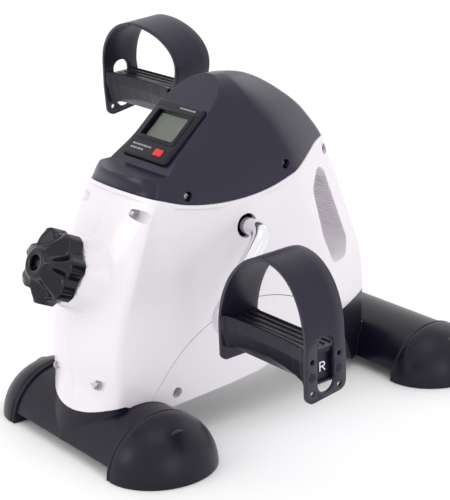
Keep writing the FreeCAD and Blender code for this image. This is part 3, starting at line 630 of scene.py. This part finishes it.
def white_half():
    """Right half of the white shell, before it is split along the arch."""
    table, away = SURFACE[0.0]
    low, high = level_of(table, bottom_height), level_of(table, lambda x, y: seam_height(x, y) - SEAM_GAP)
    outer = patch(0.0, low, high, 104, lambda t: 1 - (1 - t)**1.5)
    shell = body_solid("right_half", dress_white(outer, outer[-1, :, 2], away))
    table, _ = SURFACE[WALL]
    low, high = (level_of(table, f) for f in (lambda x, y: bottom_height(x, y) - 7.0,
                                              lambda x, y: seam_height(x, y) + 6.0))
    return combine(shell, body_solid("hollow", patch(WALL, low, high, 40), plane=-3.0), "DIFFERENCE")


def body_core(name, inset, z_low, z_high):
    """Plain solid of the body between two heights, for trimming what stands inside the shell."""
    table, _ = SURFACE[inset]
    low, high = (level_of(table, lambda x, y, z=z: np.full_like(x, z)) for z in (z_low, z_high))
    return body_solid(name, patch(inset, low, high, 90), full=True)


def grip_ribs():
    """Moulded ribs across the face of the carrying grip that the fingers close on."""
    top, bottom = np.array(HAND_OPENING[2]), np.array(HAND_OPENING[3])
    ribs = []
    for t in np.linspace(0.14, 0.88, 18):
        centre = top + (bottom - top) * t
        ring = [tuple(centre + 1.2 * np.array([math.cos(a), math.sin(a)]))
                for a in np.linspace(0, 2 * math.pi, 14, endpoint=False)]
        ribs.append(prism_x("rib", ring, -0.001, OUT))
    return combine(join(*ribs), body_core("trim", WALL, 90.0, 212.0), "INTERSECT")


def build_shell():
    half = white_half()
    inside = body_core("inside", MID_WALL, 20.0, 230.0)
    opening = rounded(HAND_OPENING, 9.0, 8)
    wall = prism_x("wall", grown(opening, WALL), -0.001, OUT)
    posts = [stub("post", y, z, floor - WALL, POST_R) for y, z, floor in HOUSING_SCREWS[:2]]
    posts.append(stub("post", 68.0, 206.0, 5.4, 5.5))
    inserts = combine(join(wall, *posts), inside, "INTERSECT")
    line_y, line_z = ARCH_LINE
    ends = [(60.0, -30.0), (line_y[0], -30.0)]
    below = [[(y, z + gap) for y, z in zip(line_y, line_z)] + ends for gap in (0.0, -ARCH_GAP)]
    cover = copy_of(half, "right_cover_shell")
    combine(half, prism_x("split", below[0], 26, 80), "DIFFERENCE")
    combine(cover, prism_x("split", below[1], 26, 80), "INTERSECT")
    combine(half, inserts, "UNION")
    combine(half, prism_x("opening", opening, -20, 70), "DIFFERENCE")
    combine(half, grip_ribs(), "UNION")
    holes = [stub("recess", *s, RECESS_R, count=36) for s in HOUSING_SCREWS]
    holes.append(rod_x("bore", 5, 70, AXLE_Y, AXLE_Z, CRANK_HOLE_R, 64))
    holes.append(turned("knob_bore", KNOB_BACK - 60 * KNOB_DIR, KNOB_DIR, [(0, 5.5), (80, 5.5)], 32))
    combine(half, join(*holes), "DIFFERENCE")
    for y, z, floor in COVER_SCREWS:
        combine(cover, stub("post", y, z, floor - WALL, POST_R, length=4.0), "UNION")
        combine(cover, stub("recess", y, z, floor, RECESS_R, count=36), "DIFFERENCE")
    half.name = "right_shell"
    for obj, kind in ((half, "housing"), (cover, "side_cover")):
        other = flip(copy_of(obj, "left_shell" if kind == "housing" else "left_cover_shell"))
        finish_piece(obj, "base", "white_shell", "right_" + kind)
        finish_piece(other, "base", "white_shell", "left_" + kind)


# ---- hood ----
def slope_prism(name, offset, top=None):
    """The space in front of and above the display slope, or only the slab between two offsets."""
    rise, reach = 100.0, -260.0
    run = rise / math.tan(SLOPE_ANGLE)
    z = SLOPE_Z + offset
    if top is None:
        space = [(reach, z), (SLOPE_Y, z), (SLOPE_Y + run, z + rise), (reach, z + rise)]
        return prism_x(name, space, -70, 70)
    high = SLOPE_Z + top
    return prism_x(name, [(reach, z), (SLOPE_Y, z), (SLOPE_Y + run, z + rise),
                          (SLOPE_Y + run, high + rise), (SLOPE_Y, high), (reach, high)], -70, 70)


def slope_matrix():
    """From the display's own layout (x across, y up the slope, z out of it) to the part's, in mm."""
    a = SLOPE_ANGLE
    y = SLOPE_Y + CENTRE_UP * math.cos(a) - PROUD * math.sin(a)
    z = SLOPE_Z + CENTRE_UP * math.sin(a) + PROUD * math.cos(a)
    return Matrix.Translation((0, y, z)) @ Matrix.Rotation(a, 4, "X")


def on_slope(obj):
    """Place a mesh made in the display's own layout."""
    obj.data.transform(Matrix.Translation((0, -Y_SHIFT * 0.001, 0)))
    m = slope_matrix()
    m.translation = (m.translation + Vector((0, Y_SHIFT, 0))) * 0.001
    obj.data.transform(m)
    return obj


def plate_on_slope(name, x0, x1, up0, up1, out0, out1, radius, lip=0.0, steps=6):
    """Rounded plate squared to the slope; lip is the rounding of its top edge."""
    outline = rounded([(x0, up0), (x1, up0), (x1, up1), (x0, up1)], radius, steps)
    rings = [[(x, y, out0) for x, y in outline]]
    turns = [0.0, 0.35, 0.7, 1.0] if lip else [1.0]
    for t in turns:
        a = t * math.pi / 2
        inner = grown(outline, -lip * (1 - math.cos(a))) if lip else outline
        rings.append([(x, y, out1 - lip * (1 - math.sin(a))) for x, y in inner])
    return on_slope(loft(name, rings))


def widened(box, by):
    """A plate's two sides and two ends, each moved outward."""
    x0, x1, up0, up1 = box
    return x0 - by, x1 + by, up0 - by, up1 + by


def build_hood():
    solids = []
    for inset, gap in ((0.0, SEAM_GAP), (WALL, -7.0)):
        table, _ = SURFACE[inset]
        low = level_of(table, lambda x, y: seam_height(x, y) + gap)
        top = np.full(table.shape[1], len(table) - (1.001 if inset == 0 else 6.0))
        grid = patch(inset, low, top, 96 if inset == 0 else 60)
        if inset:
            grid[..., 2] -= np.linspace(0, 1, len(grid))[:, None]**2 * 2.2
        solids.append(body_solid("hood_shell", grid, full=True))
    hood = combine(*solids, "DIFFERENCE")
    inside = body_core("inside", MID_WALL, 175.0, 281.0)
    plate = slope_prism("plate", -3.2, 2.0)
    posts = [stub("post", y, z, floor - WALL, POST_R, side)
             for y, z, floor in HOOD_SCREWS for side in (-1, 1)]
    combine(plate, copy_of(inside, "inside_copy"), "INTERSECT")
    combine(plate, slope_prism("front_space", 0.0), "DIFFERENCE")
    combine(hood, slope_prism("front_space", 0.0), "DIFFERENCE")
    combine(hood, plate, "UNION")
    combine(hood, combine(join(*posts), inside, "INTERSECT"), "UNION")
    holes = [stub("recess", *s, RECESS_R - 0.6, side) for s in HOOD_SCREWS for side in (-1, 1)]
    pocket = plate_on_slope("pocket", *widened(CASE, 0.4), -20, 10, 3.4)
    combine(hood, join(pocket, *holes), "DIFFERENCE")
    finish_piece(hood, "base", "dark_shell", "hood", angle=28.0)


# ---- display ----
def build_console():
    case = plate_on_slope("console", *CASE, -CONSOLE_T, 1.6, 3.2, 1.3, 8)
    bezel = plate_on_slope("bezel", -LCD_HALF - 3.6, LCD_HALF + 3.6, LCD_LOW - 3.4, LCD_HIGH + 3.2, -2, 2.6,
                           2.6, 0.9, 8)
    combine(case, bezel, "UNION")
    well = plate_on_slope("well", -LCD_HALF, LCD_HALF, LCD_LOW, LCD_HIGH, -4.5, 6, 1.4)
    button = plate_on_slope("hole", *widened(BUTTON, 0.35), -8, 6, 1.0)
    under = plate_on_slope("under", *widened(CASE, -2), -14, -6, 2.0)
    combine(case, join(well, button, under), "DIFFERENCE")
    finish_piece(case, "base", "console_black", "console_case", angle=30.0)
    push = plate_on_slope("reset_key", *BUTTON, -4.6, 2.5, 1.2, 0.7, 6)
    finish_piece(push, "button", "button_red", "reset_button")
    bars = []
    for up, start, widths in ((-17.2, -21.5, (3.2, 1.6, 2.8, 2.2, 3.6, 1.8, 2.6)),
                              (-20.8, -21.5, (2.4, 3.0, 1.6, 3.4, 2.0)),
                              (23.4, 1.0, (2.0, 1.4, 2.4, 1.6, 2.2, 1.8, 2.4))):
        x = start
        for width in widths:
            bars.append(plate_on_slope("bar", x, x + width, up - 0.75, up + 0.75, 1.55, 1.68, 0.3, 0.0, 3))
            x += width + 0.9
    finish_piece(join(*bars), "base", "lcd", material=MARK_GREY).name = "console_marks"


# ---- floor bars ----
def d_ring(x, y0, height, half, low, count=64):
    """D-shaped ring across X: over the top from front to rear, then flat along the bottom."""
    start = math.asin(low / height) if low else 0.0
    a = np.linspace(math.pi - start, start, count)
    over = np.stack([np.full(count, x), y0 + half * np.cos(a), height * np.sin(a)], 1)
    back = np.linspace(over[-1], over[0], 10)[1:-1]
    return np.vstack([over, back])


def build_bars():
    for end, name in ((-1, "front"), (1, "rear")):
        y0 = end * FOOT_Y
        stations = np.linspace(-BAR_HALF, BAR_HALF, 46)
        bar = loft(name + "_bar", [d_ring(x, y0, BAR_TOP, BAR_TOP * FLATTEN, BAR_BOTTOM) for x in stations])
        core = body_core("core", 0.0, 8.0, 72.0)
        if end < 0:
            xs = np.linspace(-60, 60, 61)
            line = [(x, COLLAR_LOW + (COLLAR_SIDE - COLLAR_LOW) * (x / 44.0)**2 - 0.3) for x in xs]
            zone = prism_y("zone", line + [(60.0, BAR_BOTTOM), (-60.0, BAR_BOTTOM)], -240.0, -150.0)
        else:
            zone = [(59, 67.3), (130, 67.3), (130, 38), (118, BAR_BOTTOM), (97, BAR_BOTTOM)]
            zone = prism_x("zone", zone, -70, 70)
        combine(core, zone, "INTERSECT")
        combine(bar, core, "UNION")
        finish_piece(bar, "base", "foot_black", name + "_bar_cover", angle=26.0)
        for side, hand in ((-1, "left"), (1, "right")):
            cap = end_cap(name + "_" + hand + "_foot", side, y0)
            finish_piece(cap, "base", "foot_black", "%s_%s_end_cap" % (name, hand),
                         angle=40.0)


def end_cap(name, side, y0):
    """Domed foot with a rolled rim and a groove behind it."""
    rim = BAR_HALF
    stations = [(rim - CAP_RIM, 42.3), (rim - CAP_RIM + 0.15, 43.1), (rim - CAP_RIM + 0.6, 43.7),
                (rim - CAP_RIM + 1.3, 44.0), (rim - CAP_RIM + 2.2, 43.8), (rim - CAP_RIM + 2.9, 43.2),
                (rim - CAP_RIM + 3.5, 42.9), (rim - CAP_RIM + 4.1, 43.3), (rim - CAP_RIM + 4.8, 43.9)]
    stations += [(rim + CAP_DOME * math.sin(a), CAP_HEIGHT * math.cos(a))
                 for a in np.radians(np.linspace(2.0, 89.2, 44))]
    rings = [d_ring(side * x, y0, h, h * FLATTEN, 0.0, 96) for x, h in stations]
    return loft(name, rings)


# ---- knob ----
def knob_rim(a):
    """Radius of the lobed skirt at each angle: a circle with a round scoop between every two lobes."""
    pitch = 2 * math.pi / KNOB_LOBES
    phi = (a + pitch / 2) % pitch - pitch / 2
    centre, scoop = KNOB_R + 9.0, 13.2
    inside = scoop**2 - (centre * np.sin(phi))**2
    r = np.where(inside > 0, centre * np.cos(phi) - np.sqrt(np.maximum(inside, 0)), 99.0)
    soft = 1.1
    return -soft * np.logaddexp(-r / soft, -KNOB_R / soft), np.abs(phi) / (pitch / 2)


def build_knob():
    count = KNOB_LOBES * 32
    a = np.linspace(0, 2 * math.pi, count, endpoint=False)
    rim, share = knob_rim(a)
    flute = np.cos(np.clip(share, 0, 1) * math.pi / 2)**1.3
    rings = []

    def ring(radius, height):
        flat = np.stack([radius * np.sin(a), radius * np.cos(a)], 1)
        rings.append(KNOB_BACK + flat[:, :1] * (1, 0, 0) + flat[:, 1:] * KNOB_UP
                     + np.asarray(height)[:, None] * KNOB_DIR)

    flat = np.ones(count)
    ring(flat * 5.5, flat * 1.0)
    ring(rim - 3.0, flat * 1.0)
    ring(rim - 2.6, flat * 0.0)
    ring(rim - 0.8, flat * 0.0)
    ring(rim, flat * 0.8)
    for h in np.linspace(2.0, KNOB_SKIRT - 2.5, 6):
        ring(rim, flat * h)
    edge = KNOB_SKIRT + 1.2 - 3.2 * flute
    ring(rim - 0.05, edge - 1.0)
    ring(rim - 0.5, edge - 0.25)
    ring(rim - 1.3, edge)
    top = KNOB_SKIRT + KNOB_HUB
    for t in np.linspace(0.06, 1.0, 24):
        radius = (rim - 1.3) * (1 - t) + (KNOB_HUB_R + 0.8) * t
        ridge = edge * (1 - t) + (top - 0.8) * t + 1.6 * np.sin(math.pi * t) * (1 - flute)
        dip = 3.6 * flute * np.sin(math.pi * min(1.0, t * 1.02))**0.8
        ring(radius, ridge - dip)
    ring(flat * KNOB_HUB_R, flat * (top - 0.3))
    ring(flat * (KNOB_HUB_R - 0.7), flat * top)
    ring(flat * 7.0, flat * top)
    ring(flat * 6.3, flat * (top - 0.5))
    ring(flat * 6.0, flat * (top - 5.0))
    ring(flat * 3.2, flat * (top - 5.0))
    ring(flat * 3.0, flat * (top - 3.6))
    ring(flat * 0.2, flat * (top - 3.4))
    knob = loft("knob", rings)
    finish_piece(knob, "knob", "knob_black", "tension_knob", angle=38.0)


# ---- crank ----
def crank_end(side):
    a = math.radians(CRANK_ANGLE if side > 0 else CRANK_ANGLE + 180)
    return AXLE_Y + CRANK_RADIUS * math.cos(a), AXLE_Z + CRANK_RADIUS * math.sin(a)


def bent_path(points, radius, steps=14):
    """Points along straight runs joined by tangent arcs."""
    out = [np.array(points[0], float)]
    for before, corner, after in zip(points, points[1:], points[2:]):
        c = np.array(corner, float)
        u, w = np.array(before, float) - c, np.array(after, float) - c
        u, w = u / np.linalg.norm(u), w / np.linalg.norm(w)
        half = math.acos(float(u @ w)) / 2
        centre = c + (u + w) / np.linalg.norm(u + w) * (radius / math.sin(half))
        start, end = c + u * radius / math.tan(half), c + w * radius / math.tan(half)
        for k in range(steps + 1):
            t = k / steps
            a = math.pi - 2 * half
            p = (math.sin((1 - t) * a) * (start - centre) + math.sin(t * a) * (end - centre)) / math.sin(a)
            out.append(centre + p)
    out.append(np.array(points[-1], float))
    return np.array(out)


def swept(name, path, radii, count=40):
    """Round rod along a path, with a radius at each point."""
    tangent = np.gradient(path, axis=0)
    tangent /= np.linalg.norm(tangent, axis=1)[:, None]
    u = np.cross(tangent[0], (0.0, 0.0, 1.0))
    u /= np.linalg.norm(u)
    rings = []
    for p, t, r in zip(path, tangent, radii):
        u = u - t * (u @ t)
        u /= np.linalg.norm(u)
        rings.append(disc_ring(p, u, np.cross(t, u), r, count))
    return loft(name, rings)


def build_cranks():
    for side, name in ((-1, "left"), (1, "right")):
        y, z = crank_end(side)
        shoulder = PEDAL_IN - 3.0
        corners = [(side * 32, AXLE_Y, AXLE_Z), (side * ARM_X, AXLE_Y, AXLE_Z),
                   (side * (ARM_X + ARM_LEAN), y, z), (side * shoulder, y, z)]
        path = bent_path(corners, BEND)
        length = SPINDLE_END - shoulder
        tail = [(side * (shoulder + d), y, z) for d in (0.5, 0.9, 20.0, length - 0.8, length)]
        radii = [CRANK_ROD_R] * len(path) + [CRANK_ROD_R - 0.5] + [SPINDLE_R] * 3 + [SPINDLE_R - 0.8]
        rod = swept(name + "_crank_arm", np.vstack([path, tail]), radii)
        finish_piece(rod, "crank", "chrome", name + "_crank", angle=50.0)


# ---- pedals and straps ----
# Along the spindle: x, half width, and the height of the underside's front and rear edges.
PEDAL_STATIONS = [
    (PEDAL_IN + STRAP_T, 18.6, -5.5), (PEDAL_IN + 6.0, 18.5, -5.0), (PEDAL_IN + 8.0, 17.2, -3.5),
    (122.0, 16.0, -2.0), (138.0, 14.9, 0.5), (156.0, 14.5, 0.5), (172.0, 14.9, -1.2), (186.0, 16.0, -3.6),
    (PEDAL_OUT - 9.0, 17.4, -6.5), (PEDAL_OUT - 6.5, 18.5, -8.5), (PEDAL_OUT - STRAP_T, 18.6, -9.0),
]
TREAD, RIDGE = 18.5, 21.0


def pedal_section(x, half, low):
    corners = [(-7.0, -8.8), (-half * 0.86, low), (-half, 11.0),
               (-half * 0.95, RIDGE), (-half * 0.74, RIDGE - 0.2),
               (-half * 0.64, TREAD), (half * 0.84, TREAD - 0.8), (half * 0.97, TREAD - 2.4), (half, 11.0),
               (half * 0.84, low), (7.0, -8.8)]
    radius = [1.2, 1.6, 2.4, 1.1, 0.6, 0.7, 0.9, 1.4, 2.4, 1.6, 1.2]
    return [(x, y, z) for y, z in rounded(corners, radius, 4)]


def pedal_mesh():
    """Foot rest about its spindle at y = z = 0, on the right-hand side."""
    at = np.array(PEDAL_STATIONS)
    xs = np.unique(np.r_[at[:, 0], np.linspace(at[0, 0], at[-1, 0], 60)])
    half, low = (np.interp(xs, at[:, 0], at[:, k]) for k in (1, 2))
    ease = np.ones(5) / 5
    core = slice(6, -6)
    half[core] = np.convolve(half, ease, "same")[core]
    low[core] = np.convolve(low, ease, "same")[core]
    body = loft("pedal", [pedal_section(*row) for row in zip(xs, half, low)])
    rib = [(-0.7, 14), (0.7, 14), (0.45, 18.95), (-0.45, 18.95)]
    ribs = [prism_x("rib", [(y + dy, z) for dy, z in rib], 114.0, 196.0) for y in np.linspace(-6.0, 12.0, 4)]
    recess_panel = prism_x("panel", rounded([(-9.6, -7.0), (9.6, -7.0), (9.6, 14.5), (-9.6, 14.5)], 2.0, 5),
                           PEDAL_OUT - STRAP_T - 2.2, PEDAL_OUT + 2)
    bore = rod_x("bore", 100, 192.5, 0, 0, SPINDLE_R + 0.15)
    combine(body, join(bore, recess_panel), "DIFFERENCE")
    for rib in ribs:
        combine(body, rib, "UNION")
    return body


def stud_mesh():
    """The two studs that the strap buttons onto."""
    profile = [(0, 1.85), (4.6, 1.85), (4.9, 3.1), (5.6, 3.3), (6.1, 2.6), (6.3, 1.4)]
    return [turned("stud", (PEDAL_OUT - STRAP_T - 2.6, s * HOLE_Y, HOLE_Z), (1, 0, 0), profile, 28)
            for s in (-1, 1)]


# How each loop has settled over the foot: curve poles in x and z above the spindle, inner leg first.
LOOPS = {
    "right": [[(PEDAL_IN, 12.0), (PEDAL_IN, 24.0), (109.5, 38.0), (115.5, 48.5)],
              [(115.5, 48.5), (127.5, 69.5), (148.0, STRAP_TOP), (161.0, STRAP_TOP)],
              [(161.0, STRAP_TOP), (185.0, STRAP_TOP), (PEDAL_OUT - 1.5, 60.0), (PEDAL_OUT, 26.0)]],
    "left": [[(PEDAL_IN, 9.0), (PEDAL_IN, 17.0), (91.0, 26.0), (91.0, 42.0)],
             [(91.0, 42.0), (91.0, 61.0), (120.0, 73.5), (149.0, 73.5)],
             [(149.0, 73.5), (178.0, 73.5), (PEDAL_OUT - 1.0, 54.0), (PEDAL_OUT, 22.0)]],
}


def strap_path(hand, inset, count=65):
    """Line of the strap in x and z at an inset from its outer face: up, over the foot and down."""
    t = np.linspace(0, 1, count)
    lean, over, fall = (bezier(poles, t[::skip])[:-1] for poles, skip in zip(LOOPS[hand], (4, 2, 1)))
    left = np.stack([np.full(18, PEDAL_IN), np.linspace(-60.0, lean[0][1], 18)], 1)[:-1]
    right = np.stack([np.full(18, PEDAL_OUT), np.linspace(LOOPS[hand][2][3][1], -60.0, 18)], 1)
    line = np.vstack([left, lean, over, fall, right])
    along = np.gradient(line, axis=0)
    along /= np.linalg.norm(along, axis=1)[:, None]
    return line + inset * np.stack([along[:, 1], -along[:, 0]], 1)


def strap_mesh(hand):
    outer, inner = strap_path(hand, 0.0), strap_path(hand, STRAP_T)
    rings = [[(x, y, z) for (x, z), ends in ((o, (-30, 30)), (i, (30, -30))) for y in np.linspace(*ends, 9)]
             for o, i in zip(outer, inner)]
    band = loft("strap", rings)
    middle = (PEDAL_IN + PEDAL_OUT) / 2
    neck = STRAP_HALF - 1.6
    ends = [(-STRAP_HALF - 0.2, STRAP_FOOT_FRONT), (STRAP_HALF + 0.2, STRAP_FOOT_REAR),
            (STRAP_HALF + 0.2, 8.0), (neck + 0.6, 24.0), (STRAP_HALF - 0.4, 44.0), (STRAP_HALF - 0.4, 120.0),
            (-STRAP_HALF + 0.4, 120.0), (-STRAP_HALF + 0.4, 44.0), (-neck - 0.6, 24.0),
            (-STRAP_HALF - 0.2, 8.0)]
    radius = [7.0, 7.0, 12.0, 14.0, 14.0, 3.0, 3.0, 14.0, 14.0, 12.0]
    outer_end = prism_x("ends", rounded(ends, radius, 8), middle, PEDAL_OUT + 4)
    plain = [(y * 0.95, max(z, -17.0)) for y, z in
             [(-STRAP_HALF, STRAP_FOOT_FRONT), (STRAP_HALF, STRAP_FOOT_REAR), (STRAP_HALF, 120.0),
              (-STRAP_HALF, 120.0)]]
    inner_end = prism_x("ends", rounded(plain, 6.0, 8), PEDAL_IN - 20, middle)
    combine(band, combine(outer_end, inner_end, "UNION"), "INTERSECT")
    slot = prism_x("slot", rounded([(-8.2, -15.5), (8.2, -15.5), (8.2, 28.5), (-8.2, 28.5)], 7.8, 10),
                   middle, PEDAL_OUT + 4)
    holes = [rod_x("hole", middle, PEDAL_OUT + 4, s * HOLE_Y, HOLE_Z + HOLE_STEP * k, 2.1, 24)
             for s in (-1, 1) for k in (-1, 0, 1)]
    holes.append(rod_x("hole", PEDAL_IN - 4, middle, 0, 0, 9.0, 48))
    combine(band, join(slot, *holes), "DIFFERENCE")
    return bevelled(band, 0.55, 2, 50.0)


STROKES = {
    "right": [[(-3.2, -4.6), (-3.2, 4.6), (0.6, 4.6), (2.5, 3.9), (3.0, 2.2), (2.4, 0.6), (0.4, -0.1),
               (-3.2, -0.1)],
              [(0.0, -0.1), (3.4, -4.6)]],
    "left": [[(-2.6, 4.6), (-2.6, -4.6), (3.0, -4.6)]],
}


def side_mark(hand):
    """Raised side letter on the end panel, as flat strokes."""
    x = PEDAL_OUT - STRAP_T - 2.2
    bars = []
    for line in STROKES[hand]:
        for (y0, z0), (y1, z1) in zip(line, line[1:]):
            d = np.array([y1 - y0, z1 - z0])
            length = np.linalg.norm(d)
            d = d / length
            n = np.array([-d[1], d[0]]) * 0.62
            a, b = np.array([y0, z0]) - d * 0.4, np.array([y1, z1]) + d * 0.4
            corners = [a - n, b - n, b + n, a + n]
            corners = [(c[0] * 0.72 + 0.6, c[1] * 0.72 + 3.2) for c in corners]
            bars.append(prism_x("stroke", rounded(corners, 0.3, 3), x - 0.3, x + 0.35))
    mark = bars[0]
    for bar in bars[1:]:
        combine(mark, bar, "UNION")
    return mark


def build_pedals():
    pedal = pedal_mesh()
    for side, hand in ((1, "right"), (-1, "left")):
        y, z = crank_end(side)
        m = Matrix.Translation((0, y, z)) @ Matrix.Rotation(math.radians(PEDAL_TILT[hand]), 4, "X")
        group = [(copy_of(pedal, hand + "_pedal_body"), "pedal_black", [hand + "_pedal"], None),
                 (strap_mesh(hand), "strap_rubber", [hand + "_strap"], None)]
        studs = join(*stud_mesh())
        studs.name = hand + "_studs"
        mark = side_mark(hand)
        mark.name = hand + "_side_mark"
        group += [(studs, "pedal_black", [], None), (mark, "pedal_black", [], MARK_WHITE)]
        for obj, slot, nodes, material in group:
            if side < 0:
                flip(obj)
            place(obj, m)
            finish_piece(obj, hand + "_foot_rest", slot, *nodes, angle=34.0, material=material)
    bpy.data.objects.remove(pedal)


# ---- screws ----
CROSS = [(-0.5, -2.1), (0.5, -2.1), (0.5, -0.5), (2.1, -0.5), (2.1, 0.5), (0.5, 0.5), (0.5, 2.1),
         (-0.5, 2.1), (-0.5, 0.5), (-2.1, 0.5), (-2.1, -0.5), (-0.5, -0.5)]


def build_screws():
    profile = [(-8.0, 1.6), (0.0, 1.6), (0.0, HEAD_R), (1.0, HEAD_R), (1.8, HEAD_R - 0.6),
               (2.2, HEAD_R - 1.6), (2.3, 0.4)]
    for name, group in (("housing_screws", HOUSING_SCREWS), ("hood_screws", HOOD_SCREWS),
                        ("cover_screws", COVER_SCREWS)):
        heads, slots = [], []
        for y, z, floor in group:
            for side in (-1, 1):
                heads.append(turned("screw", (side * (floor + 0.02), y, z), (side, 0, 0), profile, 32))
                x0, x1 = sorted((side * (floor + 1.1), side * (floor + 4.0)))
                slots.append(prism_x("cross", [(y + a, z + b) for a, b in CROSS], x0, x1))
        screws = combine(join(*heads), join(*slots), "DIFFERENCE")
        screws.name = name.replace("screws", "fasteners")
        finish_piece(screws, "base", "steel", name)


# ---- carried-over pieces ----
def paint_cad_nodes():
    slots = {s["node"]: s["material_slot"] for s in frame["record"]["subparts"]}
    for name, obj in frame["nodes"].items():
        obj.data.materials.clear()
        obj.data.materials.append(MATERIALS[slots[name]])


# ---- stage, light and camera ----
LIGHT_SIZE, LIGHT_TARGET = 0.9, Vector((0.0, 0.0, 0.12))


def area_light(name, place_at, power, colour=(1, 1, 1)):
    """Soft square light aimed at the middle of the object."""
    light = bpy.data.lights.new(name, "AREA")
    light.shape = "RECTANGLE"
    light.size = light.size_y = LIGHT_SIZE
    light.energy = power
    light.color = colour
    obj = bpy.data.objects.new(name, light)
    bpy.context.scene.collection.objects.link(obj)
    obj.location = place_at
    obj.rotation_euler = (LIGHT_TARGET - Vector(place_at)).to_track_quat("-Z", "Y").to_euler()


def build_stage():
    half = 14.0
    mesh = bpy.data.meshes.new("studio_floor")
    corners = [(-half, -half, 0), (half, -half, 0), (half, half, 0), (-half, half, 0)]
    mesh.from_pydata(corners, [], [(0, 1, 2, 3)])
    floor = bpy.data.objects.new("studio_floor", mesh)
    floor.location.z = -0.0005
    bpy.context.scene.collection.objects.link(floor)
    mesh.materials.append(surface("studio_paper", (0.93, 0.93, 0.935), 0.9, 0.02, 0.004, 300, 0.01, 0.0))
    world = bpy.data.worlds.new("studio")
    world.use_nodes = True
    sky = world.node_tree.nodes["Background"].inputs
    sky["Color"].default_value = (1.0, 0.995, 1.0, 1)
    sky["Strength"].default_value = 1.08
    bpy.context.scene.world = world
    area_light("key", (-0.5, -1.9, 1.1), 6.5)
    area_light("top", (0.3, -0.2, 1.9), 2.6)
    area_light("side", (1.9, -0.1, 0.7), 3.5)
    area_light("rim", (-0.6, 1.7, 1.3), 1.6, (1.0, 0.98, 1.0))
    bpy.context.scene.view_settings.view_transform = "Standard"


def build_camera():
    azimuth, elevation, distance = math.radians(50.8), math.radians(18.4), 1.3457
    target = Vector((-0.0352, Y_SHIFT * 0.001, 0.1169))
    back = Vector((math.sin(azimuth) * math.cos(elevation), -math.cos(azimuth) * math.cos(elevation),
                   math.sin(elevation)))
    camera = bpy.data.cameras.new("camera")
    camera.lens, camera.sensor_width = 112.08, 36.0
    obj = bpy.data.objects.new("camera", camera)
    bpy.context.scene.collection.objects.link(obj)
    obj.location = target + back * distance
    obj.rotation_euler = (-back).to_track_quat("-Z", "Y").to_euler()
    bpy.context.scene.camera = obj


build_camera()
build_stage()
paint_cad_nodes()
build_shell()
build_hood()
build_console()
build_bars()
build_knob()
build_cranks()
build_pedals()
build_screws()
